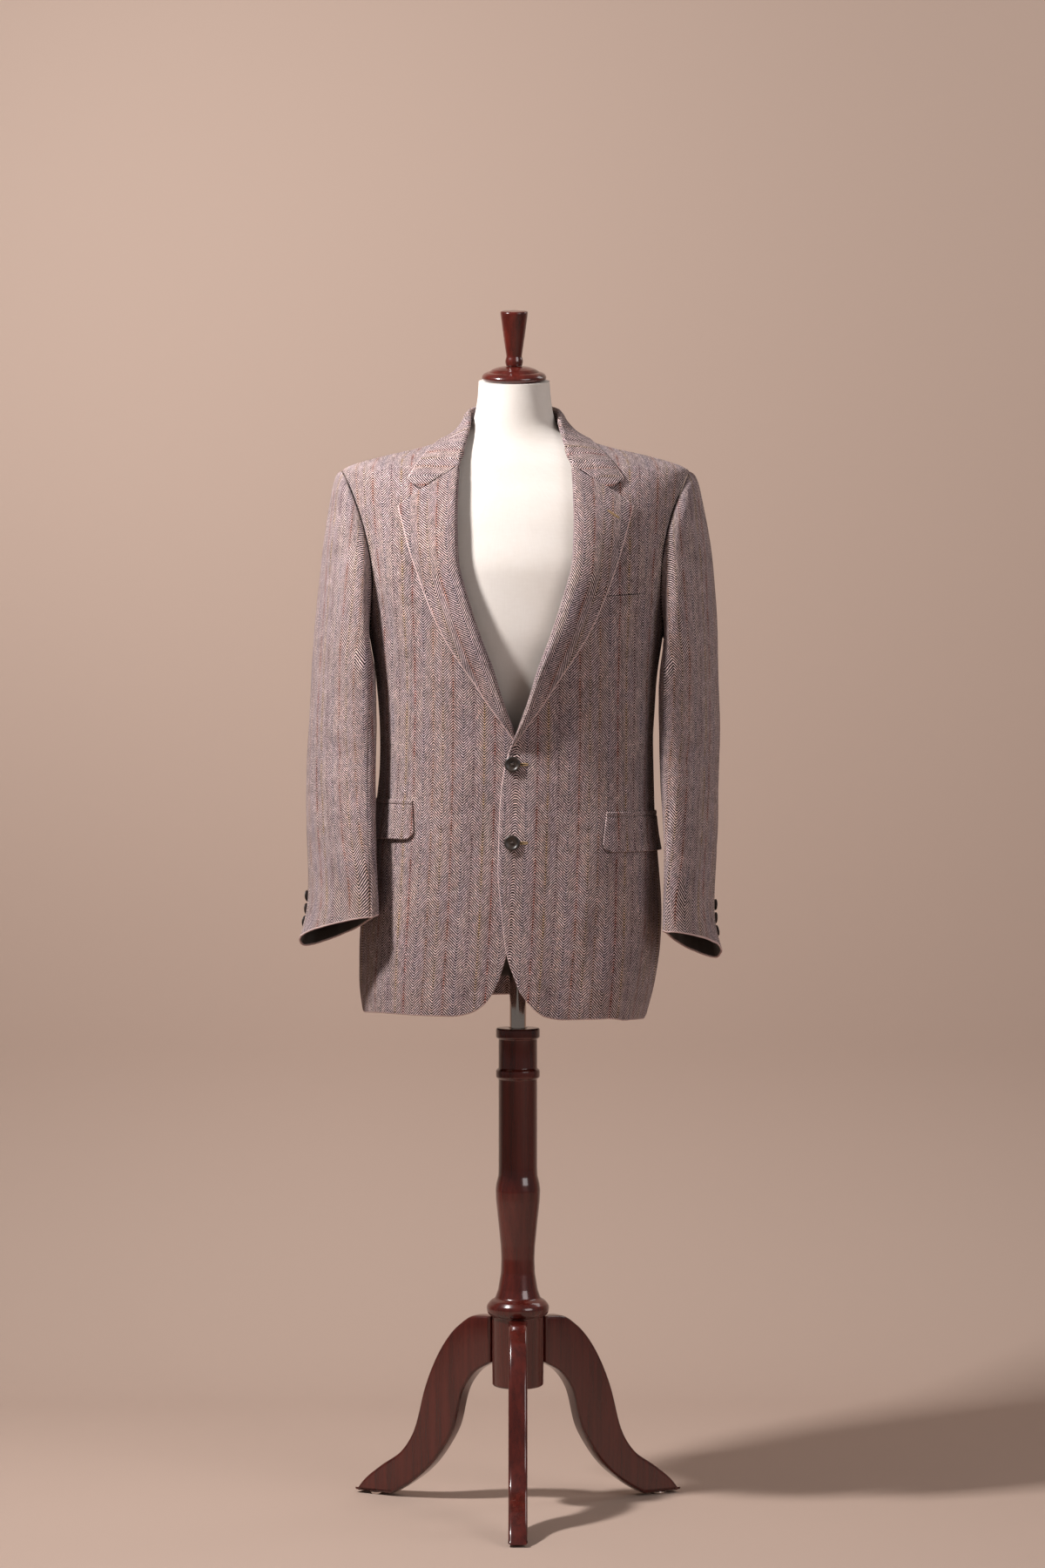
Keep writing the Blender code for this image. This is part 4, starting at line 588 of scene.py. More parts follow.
class Finish:
    """A procedural material under construction."""

    def __init__(self, name, roughness, metallic=0.0, **more):
        self.surface = bpy.data.materials.new(name)
        self.surface.use_nodes = True
        self.tree = self.surface.node_tree
        self.shader = self.tree.nodes["Principled BSDF"]
        self.shader.inputs["Roughness"].default_value = roughness
        self.shader.inputs["Metallic"].default_value = metallic
        for socket, value in more.items():
            self.shader.inputs[socket.replace("_", " ")].default_value = value

    def fed(self, kind, *sockets, **inputs):
        """A new node, its first inputs linked and its named ones set."""
        node = self.tree.nodes.new(f"ShaderNode{kind}")
        for end, start in zip(node.inputs, sockets):
            self.tree.links.new(start, end)
        for name, value in inputs.items():
            node.inputs[name].default_value = value
        return node

    def parts(self, socket):
        """The three numbers of a vector."""
        return [Sum(self.tree, part) for part in self.fed("SeparateXYZ", socket).outputs]

    def mapped(self, name):
        """The numbers of a UV map."""
        node = self.fed("UVMap")
        node.uv_map = name
        return self.parts(node.outputs["UV"])

    def flat_place(self):
        """The cloth's own flat measure: across and along, in metres."""
        return self.mapped("Weave")[:2]

    def from_edge(self):
        """How far the cloth is from its nearest free edge, in metres."""
        return self.mapped("Edge")[0]

    def place(self):
        """The object's own coordinates."""
        return self.parts(self.fed("TexCoord").outputs["Object"])

    def texture(self, kind, values, output, **inputs):
        """A texture node's number at up to three numbers."""
        vector = self.fed("CombineXYZ", *(value.socket for value in values)).outputs[0]
        return Sum(self.tree, self.fed(kind, vector, **inputs).outputs[output])

    def noise(self, values, scale=1.0, detail=2.0, roughness=0.5):
        """Noise, centred on 0.5."""
        return self.texture("TexNoise", values, "Fac", Scale=scale, Detail=detail,
                            Roughness=roughness)

    def luck(self, values):
        """A random number from 0 to 1 for each pair of whole numbers."""
        return self.texture("TexWhiteNoise", values, "Value")

    def bright(self, colour, factor):
        """A colour made lighter or darker by a number."""
        node = self.fed("VectorMath", colour)
        node.operation = "SCALE"
        self.tree.links.new(factor.socket, node.inputs["Scale"])
        return node.outputs[0]

    def mix(self, share, first, second):
        """Colour between two, each a tuple or a node's socket."""
        node = self.fed("Mix")
        node.data_type = "RGBA"
        node.clamp_factor = True
        for number, value in zip((0, 6, 7), (share, first, second)):
            socket = node.inputs[number]
            if isinstance(value, Sum):
                self.tree.links.new(value.socket, socket)
            elif isinstance(value, bpy.types.NodeSocket):
                self.tree.links.new(value, socket)
            elif isinstance(value, tuple):
                socket.default_value = (*value, 1.0)
            else:
                socket.default_value = value
        return node.outputs[2]

    def colour(self, value):
        socket = self.shader.inputs["Base Color"]
        if isinstance(value, tuple):
            socket.default_value = (*value, 1.0)
        else:
            self.tree.links.new(value, socket)

    def bump(self, height, distance, strength=1.0):
        node = self.fed("Bump", Distance=distance, Strength=strength)
        self.tree.links.new(height.socket, node.inputs["Height"])
        self.tree.links.new(node.outputs[0], self.shader.inputs["Normal"])

    def rough(self, value):
        self.tree.links.new(value.socket, self.shader.inputs["Roughness"])


# ---------------------------------------------------------------- finishes
YARN = 0.000860            # spacing of the tweed's yarns, both ways
YARN_WANDER = 0.0008       # how far the warp yarns wander, and the weft yarns sway
YARN_SWAY = 0.0016
COLUMN_ENDS = 16           # warp yarns in one column of the herringbone
COLUMN_WIDTH = YARN * COLUMN_ENDS
STRIPE_HALF = 0.0010       # half width of a coloured stripe, and of the tinted cloth beside it
TINT_HALF = 0.0062
WARP_PALE = (0.990, 0.765, 0.725)
WARP_COOL = (0.870, 0.685, 0.705)
WEFT_BROWN = (0.026, 0.009, 0.008)
WEFT_PLUM = (0.040, 0.016, 0.022)
WEFT_TINT = 0.30           # share of a stripe's colour that the weft beside it takes
# The stripes at the borders between columns, eight borders to a repeat: colour and strength.
STRIPES = (
    ((0.660, 0.360, 0.230), 0.62), ((0.400, 0.350, 0.440), 0.40),
    ((0.540, 0.200, 0.150), 0.80), ((0.700, 0.450, 0.210), 0.68),
    ((0.240, 0.110, 0.130), 0.50), ((0.400, 0.360, 0.450), 0.42),
    ((0.580, 0.250, 0.180), 0.76), ((0.700, 0.480, 0.280), 0.50))
# The front's dart in the cloth's flat measure: its foot and head, across and along.
DART = ((0.1480, 0.1420), (0.300, 0.522))
DART_HALF = 0.0009
HAIR = (0.50, 0.38, 0.36)
FLECK = (0.66, 0.52, 0.44)
# Painted shade along the dart's sunk line.
DART_SHADE = (0.030, 0.020, 0.020)
EDGE_HIGHLIGHT_PAINT = (0.820, 0.600, 0.570)     # painted highlight on the cloth's free edges, where their roll catches the light, and how far in
EDGE_HIGHLIGHT_PAINT_WIDTH = 0.0026
POCKET_HIGHLIGHT_INSET = 0.0017             # how much narrower that painted highlight band is on pockets


def tweed_finish():
    """Two and two herringbone of thick, hairy, mottled yarns with coloured warp stripes."""
    it = Finish("tweed_herringbone", 0.93, Sheen_Weight=0.06, Sheen_Roughness=0.40,
                Specular_IOR_Level=0.10, Sheen_Tint=(1.0, 0.90, 0.86, 1.0))
    across, along = it.flat_place()
    wander = it.noise((across, along), 210.0, 2.0)
    sway = it.noise((along, across), 120.0, 1.0)
    u = across + (wander - 0.5) * YARN_WANDER
    v = along + (sway - 0.5) * YARN_SWAY
    slope = u.made("PINGPONG", COLUMN_WIDTH)
    end, pick = (u / YARN).floor(), (v / YARN).floor()
    rib = ((slope / YARN).floor() * 0.3 + slope / YARN * 0.7 + pick * 0.3 + v / YARN * 0.7).mod(4.0)
    over = (rib - 1.0).made("ABSOLUTE").ramp(1.00, 0.56)
    warp_luck = it.luck((end, (v / (YARN * 2.0)).floor()))
    weft_luck = it.luck(((u / (YARN * 2.0)).floor(), pick + 0.5))
    streak = it.noise((end * 0.37, v * 75.0), 1.0, 3.0, 0.6)
    slub = it.noise((u * 75.0, pick * 0.37), 1.0, 3.0, 0.6)
    broad = it.noise((across, along), 24.0, 4.0, 0.6)
    banded = it.noise((across * 75.0, along * 14.0), 1.0, 3.0, 0.6)
    boundary = u / COLUMN_WIDTH + 0.5
    beside = (boundary.fract() - 0.5).made("ABSOLUTE") * COLUMN_WIDTH
    which = boundary.floor().mod(float(len(STRIPES)))
    stripe = beside.ramp(STRIPE_HALF, STRIPE_HALF * 0.4) * 0.8 + beside.ramp(TINT_HALF, 0.0) * 0.5
    stripe = stripe * it.noise((which, v * 30.0), 1.0, 3.0).ramp(0.30, 0.62)
    warp = it.mix(banded.ramp(0.34, 0.66), WARP_PALE, WARP_COOL)
    weft = it.mix(slub.ramp(0.35, 0.65), WEFT_BROWN, WEFT_PLUM)
    for number, (colour, strength) in enumerate(STRIPES):
        share = which.made("COMPARE", float(number), 0.5) * stripe * strength
        warp = it.mix(share, warp, colour)
        weft = it.mix(share * WEFT_TINT, weft, tuple(0.4 * c for c in colour))
    warp = it.bright(warp, warp_luck * 0.30 + streak.ramp(0.30, 0.70) * 0.46 + 0.40)
    weft = it.bright(weft, weft_luck * 0.4 + slub.ramp(0.50, 0.78) * 1.3 + 0.15)
    cloth_colour = it.mix(over, weft, warp)
    hair = it.noise((across, along), 2300.0, 3.0, 0.75)
    cloth_colour = it.mix(hair.ramp(0.58, 0.80) * 0.05, cloth_colour, HAIR)
    grain = it.noise((across, along), 420.0, 2.0, 0.6)
    mottle = (broad * 0.60 + 0.66) * (grain.ramp(0.30, 0.70) * 0.60 + 0.67)
    cloth_colour = it.bright(cloth_colour, mottle)
    fleck = it.noise((across, along), 620.0, 1.0)
    cloth_colour = it.mix(fleck.above(0.745) * 0.55, cloth_colour, FLECK)
    foot, head = DART[1]
    share = (along - foot) / (head - foot)
    line = share * (DART[0][1] - DART[0][0]) + DART[0][0]
    beside_dart = (across - line).made("ABSOLUTE")
    sunk = beside_dart.ramp(DART_HALF * 2, 0.0) * share.above(0.0) * share.below(1.0)
    # Painted shade: the cloth is darkened along the dart's sunk line.
    cloth_colour = it.mix(sunk * 0.35, cloth_colour, DART_SHADE)
    # Painted highlight: a pale band along the free edges, where their roll catches the light.
    edge_highlight_paint = it.from_edge().ramp(EDGE_HIGHLIGHT_PAINT_WIDTH, EDGE_HIGHLIGHT_PAINT_WIDTH * 0.5) * (wander * 0.5 + 0.32)
    it.colour(it.mix(edge_highlight_paint, cloth_colour, EDGE_HIGHLIGHT_PAINT))
    relief = over * (u / YARN).hump() + over.flip() * (v / YARN).hump() * 0.8
    it.bump(relief * 0.75 + hair * 0.70 + broad * 0.9 + slub * 0.5 - sunk * 1.6, 0.00032, 1.0)
    return it.surface


# Darker and lighter tones of the plainer finishes.
# The lining's tones are very dark: partly its own dark brown, partly painted shade for the insides
# of the cuffs.
LINING_TONES = ((0.026, 0.018, 0.015), (0.048, 0.034, 0.026))
LINEN_TONES = ((0.600, 0.544, 0.497), (0.712, 0.670, 0.630))
LINEN_CLOUD = (0.640, 0.560, 0.480)
LINEN_PITCH = 0.00085      # spacing of the linen's threads
LINEN_RADIUS = 0.13        # the torso's, for the length of linen round it
MAHOGANY_TONES = ((0.050, 0.006, 0.004), (0.088, 0.011, 0.007))
MAHOGANY_PORE = (0.025, 0.006, 0.004)
HORN_TONES = ((0.010, 0.007, 0.006), (0.060, 0.036, 0.024))
CHROME_TONE = (0.70, 0.62, 0.57)


def lining_finish():
    it = Finish("lining_satin", 0.42, Sheen_Weight=0.25, Specular_IOR_Level=0.4)
    across, along = it.flat_place()
    thread = ((across + along) / 0.0006).hump()
    cloud = it.noise((across, along), 45.0, 3.0)
    it.colour(it.mix(cloud, *LINING_TONES))
    it.bump(thread * 0.25 + cloud * 1.6, 0.0005, 0.6)
    return it.surface


def linen_finish():
    """Plain weave with slubs."""
    it = Finish("form_linen", 0.88, Sheen_Weight=0.12, Specular_IOR_Level=0.2)
    x, y, z = it.place()
    round_it = y.made("ARCTAN2", x) * LINEN_RADIUS
    warp, weft = round_it / LINEN_PITCH, z / LINEN_PITCH
    over = (warp.floor() + weft.floor()).mod(2.0)
    slub = it.noise((warp.floor() * 0.31, z * 40.0), 1.0, 3.0, 0.6)
    cross_slub = it.noise((weft.floor() * 0.29, round_it * 40.0), 1.0, 3.0, 0.6)
    cloud = it.noise((x, y, z), 14.0, 4.0, 0.55)
    base = it.mix(over * slub + over.flip() * cross_slub, *LINEN_TONES)
    it.colour(it.mix(cloud.ramp(0.38, 0.72) * 0.22, base, LINEN_CLOUD))
    it.bump(over * warp.hump() + over.flip() * weft.hump() + slub * 0.8, 0.0002, 0.45)
    return it.surface


def mahogany_finish():
    """Dark red-brown wood, its grain up the piece, under a thick gloss."""
    it = Finish("mahogany_gloss", 0.22, Coat_Weight=0.55, Coat_Roughness=0.05,
                Specular_IOR_Level=0.5)
    x, y, z = it.place()
    ring = it.noise((x * 95.0, y * 95.0, z * 5.0), 1.0, 4.0, 0.6)
    pore = it.noise((x * 900.0, y * 900.0, z * 24.0), 1.0, 2.0, 0.7)
    base = it.mix(ring.ramp(0.32, 0.68), *MAHOGANY_TONES)
    it.colour(it.mix(pore.ramp(0.60, 0.72) * 0.6, base, MAHOGANY_PORE))
    it.bump(ring * 0.25 + pore * 0.4, 0.0002, 0.35)
    return it.surface


def horn_finish():
    it = Finish("button_horn", 0.42, Coat_Weight=0.20, Coat_Roughness=0.28)
    x, y, z = it.place()
    streak = it.noise((x * 60.0, y * 260.0, z * 60.0), 1.0, 4.0, 0.65)
    it.colour(it.mix(streak.ramp(0.35, 0.72), *HORN_TONES))
    it.bump(it.noise((x, y, z), 900.0, 3.0), 0.00012, 0.5)
    return it.surface


def chrome_finish():
    it = Finish("rod_chrome", 0.13, 1.0)
    x, y, z = it.place()
    smear = it.noise((x * 120.0, y * 120.0, z * 9.0), 1.0, 3.0)
    it.colour(CHROME_TONE)
    it.rough(smear * 0.12 + 0.04)
    return it.surface


def thread_finish(name, dark, pale):
    """Twisted sewing thread."""
    it = Finish(name, 0.7, Sheen_Weight=0.3)
    x, y, z = it.place()
    strand = it.noise((x, y, z), 1500.0, 2.0)
    it.colour(it.mix(strand, dark, pale))
    it.bump(strand, 0.0002, 0.6)
    return it.surface


def plain_finish(name, colour, roughness):
    it = Finish(name, roughness)
    it.colour(colour)
    return it.surface


TWEED = tweed_finish()
LINING = lining_finish()
LINEN = linen_finish()
MAHOGANY = mahogany_finish()
HORN = horn_finish()
CHROME = chrome_finish()
GOLD_THREAD = thread_finish("thread_gold", (0.20, 0.115, 0.045), (0.42, 0.27, 0.12))
BROWN_THREAD = thread_finish("thread_brown", (0.035, 0.022, 0.018), (0.10, 0.065, 0.05))
# Dark sheets painted as the shade inside buttonhole slits and the welt pocket's mouth.
SLIT_PAINTED_SHADE = plain_finish("slit_painted_shade", (0.012, 0.008, 0.008), 1.0)


# ---------------------------------------------------------------- the cloth's surface
# Small creases and waves of the cloth, added to the hanging folds above.
CREASES = (
    # turn, z, reach_turn, reach_z, lean, height
    (-0.50, 1.265, 0.055, 0.022, -1.60, 0.0022),
    (-0.42, 1.238, 0.060, 0.018, -1.80, -0.0016),
    (0.50, 1.262, 0.055, 0.022, 1.50, 0.0015),
    (0.43, 1.085, 0.020, 0.075, 0.35, -0.0010),
    (-0.40, 1.060, 0.024, 0.085, -0.30, -0.0010),
    (0.30, 1.012, 0.060, 0.014, 1.30, 0.0010),
    (-0.30, 1.000, 0.060, 0.014, -1.40, 0.0009),
    (0.24, 0.868, 0.050, 0.016, -1.10, 0.0009),
    (-0.22, 0.850, 0.055, 0.018, 1.20, 0.0008),
    (0.30, 0.780, 0.035, 0.070, 0.25, 0.0016),
    (-0.28, 0.760, 0.038, 0.080, -0.30, 0.0014),
    (0.62, 0.800, 0.040, 0.090, 0.10, 0.0015),
    (-0.60, 0.790, 0.040, 0.080, -0.15, 0.0015),
    (0.52, 0.672, 0.045, 0.030, 0.10, 0.0020),
    (0.66, 0.664, 0.040, 0.026, 0.00, -0.0016),
    (-0.66, 0.672, 0.050, 0.030, 0.00, 0.0012),
    (0.60, 1.352, 0.040, 0.016, 0.60, -0.0010),
    (-0.60, 1.356, 0.040, 0.016, -0.60, -0.0011),
    (1.42, 1.330, 0.060, 0.020, 1.20, 0.0016),
    (-1.45, 1.335, 0.060, 0.018, -1.20, 0.0015),
    (1.55, 1.180, 0.050, 0.030, 1.60, 0.0018),
    (-1.52, 1.165, 0.055, 0.026, -1.70, 0.0019),
    (1.70, 1.000, 0.070, 0.015, 1.40, 0.0015),
    (-1.66, 0.985, 0.065, 0.016, -1.50, 0.0014),
    (1.78, 0.960, 0.060, 0.013, 1.10, -0.0012),
    (-1.80, 0.950, 0.060, 0.013, -1.20, -0.0012),
    (1.93, 1.392, 0.090, 0.012, 0.00, 0.0012),
    (1.50, 0.760, 0.060, 0.110, 0.10, 0.0020),
    (-1.52, 0.770, 0.060, 0.100, -0.10, 0.0019),
    (1.80, 0.750, 0.050, 0.100, 0.05, -0.0016),
    (-1.78, 0.740, 0.050, 0.090, -0.05, -0.0016))
SWELL = 0.0005             # height of the faint all-over unevenness of worn cloth


def swell(turn, z):
    """Faint unevenness, from a few waves that never quite repeat."""
    return SWELL * (np.sin(turn * 9.1 + z * 13.7) + np.sin(turn * 17.3 - z * 29.1 + 1.3)
                    + 0.6 * np.sin(turn * 31.7 + z * 47.9 + 0.4))


def fold_height(turn, z):
    """Height of folds, creases and unevenness at a place on the jacket."""
    turn, z = np.broadcast_arrays(np.asarray(turn, float), np.asarray(z, float))
    height = swell(turn, z)
    for middle, level, reach_turn, reach_z, lean, rise in FOLDS + CREASES:
        off_turn = turn - middle - lean * (z - level)
        height = height + rise * np.exp(-(off_turn / reach_turn) ** 2
                                        - ((z - level) / reach_z) ** 2)
    return height


def cloth(turn, z, out=0.0):
    """Point of the jacket's outer face, moved out by a distance, and its outward direction."""
    outward = normal_of(BODY, turn, z)
    rise = np.asarray(fold_height(turn, z) + out)
    return body_ring(BODY, turn, z) + outward * rise[..., None], outward


# The cloth's flat measure: length round the body from centre front and length up it.
LEVELS = np.linspace(0.63, 1.45, 411)
TURNS = np.linspace(0.0, 2.0, 401)
RINGS = body_ring(BODY, *np.broadcast_arrays(TURNS[None, :], LEVELS[:, None]))
ROUND, UP = run_from(RINGS, 1), run_from(RINGS, 0)


def looked_up(table, turn, z):
    """Value of a level by turn table, between its entries."""
    i = np.clip((np.asarray(z) - LEVELS[0]) / (LEVELS[1] - LEVELS[0]), 0, len(LEVELS) - 1.001)
    j = np.clip((np.abs(turn) - TURNS[0]) / (TURNS[1] - TURNS[0]), 0, len(TURNS) - 1.001)
    a, b = i.astype(int), j.astype(int)
    s, t = i - a, j - b
    return ((table[a, b] * (1 - t) + table[a, b + 1] * t) * (1 - s)
            + (table[a + 1, b] * (1 - t) + table[a + 1, b + 1] * t) * s)


BACK_SHIFT = 5.0           # keeps the backs' mottle apart from the fronts'


def flat_front(turn, z):
    """Flat measure from centre front."""
    return looked_up(ROUND, turn, z), looked_up(UP, turn, z)


def flat_back(turn, z):
    """Flat measure from centre back."""
    across = looked_up(ROUND, 2.0 + 0 * z, z) - looked_up(ROUND, turn, z)
    return across, looked_up(UP, turn, z) + BACK_SHIFT


# ---------------------------------------------------------------- shells
BORDER_STEPS = {
    "edge": (0.0, 0.00025, 0.0007, 0.0014, 0.0024, 0.0042),
    "seam": (0.0, 0.0007, 0.0016, 0.0028, 0.0045),
    "open": (0.0,)}
SEAM_DROP = 0.0010         # how deep a seam sinks
SEAM_REACH = 0.0030
EDGE_FLAT = 0.96           # share of the wall that an edge's roundness takes
EDGE_REACH = 0.62          # how far in it begins, in walls
# A grid's borders in the order of its kinds: axis, and whether measured from its far end.
BORDERS = ((0, False), (0, True), (1, False), (1, True))


def stops(length, count, first, last):
    """Distances along a line of cloth, close together near its two borders."""
    start = np.array(BORDER_STEPS[first])
    end = np.array(BORDER_STEPS[last])
    shrink = min(1.0, 0.45 * length / max(start[-1] + end[-1], 1e-9) * 2)
    start, end = start * shrink, length - end[::-1] * shrink
    return np.concatenate([start, np.linspace(start[-1], end[0], count + 2)[1:-1], end])


def respaced(grid, count, first, last):
    """Re-reads every row of a grid of [point, outward, flat] at stops()."""
    rows = []
    for values, run in zip(grid, run_from(grid[..., :3], 1)):
        at = stops(run[-1], count, first, last)
        rows.append(np.stack([np.interp(at, run, value) for value in values.T], -1))
    return np.array(rows)


def spread(grid, rows, columns, kinds):
    """Re-reads a dense grid both ways. kinds are its borders: bottom, top, first, last."""
    grid = respaced(grid, columns, kinds[2], kinds[3])
    return respaced(grid.swapaxes(0, 1), rows, kinds[0], kinds[1]).swapaxes(0, 1)


def measured(points, way, column):
    """A grid's lines measured square to its length and along it, from one of its columns."""
    step = np.diff(points, axis=1)
    lengthwise = np.sum(step * way, axis=-1)
    sideways = np.sqrt(np.maximum(np.sum(step * step, axis=-1) - lengthwise ** 2, 0.0))
    across, along = (np.pad(np.cumsum(part, axis=1), ((0, 0), (1, 0)))
                     for part in (sideways, lengthwise))
    start = run_from(points[:, [column]], 0)
    return across - across[:, [column]], along - along[:, [column]] + start


def lengthways(points):
    """Unit directions along a grid's columns, halfway between neighbouring ones."""
    way = np.gradient(points, axis=0)
    return unit(way[:, 1:] + way[:, :-1])


def drawn_in(points, thick, kinds):
    """How far the outer and inner faces draw in near each border."""
    outer = np.zeros(points.shape[:2])
    inner = np.zeros(points.shape[:2])
    for kind, (axis, backwards) in zip(kinds, BORDERS):
        away = run_from(points, axis, backwards)
        if kind == "edge":
            near = 1 - np.clip(away / (thick * EDGE_REACH), 0, 1)
            drop = thick / 2 * EDGE_FLAT * rounding(near)
            outer, inner = np.maximum(outer, drop), np.maximum(inner, drop)
        elif kind == "seam":
            share = np.clip(away / SEAM_REACH, 0, 1)
            outer = np.maximum(outer, SEAM_DROP * (1 - share) ** 2)
    return outer, inner


def shell(name, grid, thick, kinds, finishes, lined=None, highlight_inset=0.0):
    """Closed cloth wall from a grid of [outer point, outward, flat place].

    lined, if given, says for each inner face by its row and column shares whether it is lining.
    highlight_inset narrows the pale band along the free edges that is painted as a highlight.
    """
    outer_drop, inner_drop = drawn_in(grid[..., :3], thick, kinds)
    point, outward, flat = grid[..., :3], unit(grid[..., 3:6]), grid[..., 6:8]
    outer = point - outward * outer_drop[..., None]
    inner = point - outward * (thick - inner_drop)[..., None]
    points = np.concatenate([outer.reshape(-1, 3), inner.reshape(-1, 3)])
    flats = np.concatenate([flat.reshape(-1, 2)] * 2)
    index, square = squares(*outer.shape[:2])
    rim = np.concatenate([index[0, :-1], index[:-1, -1], index[-1, :0:-1], index[:0:-1, 0]])
    after = np.roll(rim, -1)
    inward = index.size
    rim_faces = np.stack([rim, rim + inward, after + inward, after], -1)
    faces = np.concatenate([square, square[:, ::-1] + inward, rim_faces])
    kind = np.zeros(len(faces), int)
    if lined is not None:
        kind[len(square):2 * len(square)] = lined.reshape(-1)
    piece = add_mesh(name, points, faces, finishes, kind)
    layer = piece.data.uv_layers.new(name="Weave")
    corner = np.empty(len(piece.data.loops), int)
    piece.data.loops.foreach_get("vertex_index", corner)
    layer.data.foreach_set("uv", flats[corner].ravel())
    free = [run_from(point, axis, backwards) for kind, (axis, backwards) in zip(kinds, BORDERS)
            if kind == "edge"]
    free = np.minimum.reduce(free + [np.full(point.shape[:2], 1.0)]).ravel() + highlight_inset
    free = np.stack([np.concatenate([free, free])] * 2, -1)
    piece.data.uv_layers.new(name="Edge").data.foreach_set("uv", free[corner].ravel())
    piece.data.uv_layers.active = piece.data.uv_layers["Weave"]
    return piece


def add_mesh(name, points, faces, finishes, kind=None, sharp=55.0):
    """Mesh at the stand's axis, its faces turned outwards."""
    mesh = bpy.data.meshes.new(name)
    points = np.asarray(points, float) + (AXIS_X, AXIS_Y, 0.0)
    mesh.from_pydata(points.tolist(), [], [list(map(int, face)) for face in faces])
    for finish in finishes:
        mesh.materials.append(finish)
    if kind is not None:
        mesh.polygons.foreach_set("material_index", np.asarray(kind, np.int32))
    turn_outwards(mesh)
    mesh.shade_smooth()
    mesh.set_sharp_from_angle(angle=math.radians(sharp))
    return put(name, mesh)


def turn_outwards(mesh):
    """Flips all faces of a closed mesh whose volume comes out negative."""
    mesh.calc_loop_triangles()
    corner = np.empty(len(mesh.loop_triangles) * 3, int)
    mesh.loop_triangles.foreach_get("vertices", corner)
    place = np.empty(len(mesh.vertices) * 3)
    mesh.vertices.foreach_get("co", place)
    a, b, c = place.reshape(-1, 3)[corner.reshape(-1, 3)].swapaxes(0, 1)
    if np.sum(np.cross(a, b) * c) < 0:
        mesh.flip_normals()


def dressed(piece, body, slot, *nodes):
    """The piece stands for these nodes and rides with their body."""
    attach(piece, body)
    if nodes:
        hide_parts(*nodes)
    return piece


def stated(grid):
    """Works out the diagonals of a shell's grid; nothing is done with them."""
    point = grid[..., :3]
    a, b = point[1:, 1:] - point[:-1, :-1], point[1:, :-1] - point[:-1, 1:]


def cloth_piece(name, node, grid, wall, kinds, finishes, lined=None, highlight_inset=0.0,
                slot="tweed"):
    """A shell that stands for a node of the jacket."""
    piece = shell(name, grid, wall, kinds, finishes, lined, highlight_inset)
    dressed(piece, "form", slot, node)
    stated(grid)


# ---------------------------------------------------------------- fronts, sides and backs
DENSE = 6                  # times finer than the solids' own grids
TURN_UP = 0.038            # width of the tweed turned up inside a hem or cuff
FACING = 0.085             # width of the tweed facing inside a front
SCENE_SETBACK = 0.0036     # the front's own edge hides inside the lapel's roll
OVERLAP_KEPT = 0.0004      # what is left of the overlap's lift at the left front's edge
SIDE_SHIFT = 0.090         # moves the sides' herringbone on from the fronts'
# Each grid's borders: bottom, top, first column, last column.
FRONT_KINDS = ("edge", "seam", "edge", "seam")
SIDE_KINDS = ("edge", "seam", "seam", "seam")
BACK_KINDS = ("edge", "seam", "seam", "seam")
SIDES = ((1, "left"), (-1, "right"))


def dense_loops():
    front, under, back = arm_loops()
    return [np.interp(np.linspace(0, len(part) - 1, (len(part) - 1) * DENSE + 1),
                      np.arange(len(part)), part) for part in (front, under, back)]


def seam_line(turn, side):
    """Heights of a seam that runs up the body from the hem to the armhole."""
    top = armhole(loop_at(turn))[1]
    return np.linspace(hem_z(turn, side), top, SIDE_ROWS * DENSE + 1)


def joined(seam, arc):
    return np.concatenate([seam, arc[1:]])


def pattern(turn, z, from_back=False):
    """Pattern points of turns and heights, across from centre front or centre back."""
    return np.stack([half_width(z) * (2 - turn if from_back else turn), z + 0 * turn], -1)


EDGE_ROLL = 0.0042         # width over which a front rolls down to its edge
HEM_ROLL = 0.0030
HEM_DROP = 0.0010


def front_grid(side):
    edge = EDGE_LEFT if side > 0 else EDGE_RIGHT
    columns = 10 * DENSE + 1
    low = [tuple(front_pattern(x, z, side)) for x, z in edge[EDGE_CORNER::-1]]
    low += [(half_width(hem_z(t, side)) * t, hem_z(t, side)) for t in HEM_TURNS]
    bottom = path(low, columns, EDGE_CROWD)
    high = [tuple(front_pattern(x, z, side)) for x, z in edge[EDGE_CORNER:]]
    for z in OPENING_LEVELS:
        further = np.clip((z - NECK_SETBACK_FROM) / NECK_SETBACK_RAMP, 0, 1)
        setback = SCENE_SETBACK + NECK_SETBACK * further
        x = MIDDLE_LINE + side * (ROLL.at(z, "reach") + setback)
        high.append(tuple(front_pattern(x, z, side)))
    high += [(half_width(z) * turn, z) for turn, z in FRONT_NECKLINE]
    arc_turn, arc_z = armhole(dense_loops()[0][::-1])
    right = joined(pattern(SIDE_SEAM, seam_line(SIDE_SEAM, side)), pattern(arc_turn, arc_z))
    left = path(high, len(right), 1.0, SHOULDER_CROWD)
    top_z = np.linspace(NECK_POINT_Z, ARM_TOP_Z, columns)
    top = path(np.stack([half_width(top_z), top_z], -1), columns)
    return coons(left, bottom, right, top)


def side_grid(side):
    turns, z = armhole(dense_loops()[1])
    low_turns = np.linspace(SIDE_SEAM, BACK_SEAM, len(turns))
    bottom = pattern(low_turns, hem_z(low_turns, side))
    left = pattern(SIDE_SEAM, seam_line(SIDE_SEAM, side))
    right = pattern(BACK_SEAM, seam_line(BACK_SEAM, side))
    return coons(left, bottom, right, pattern(turns, z))


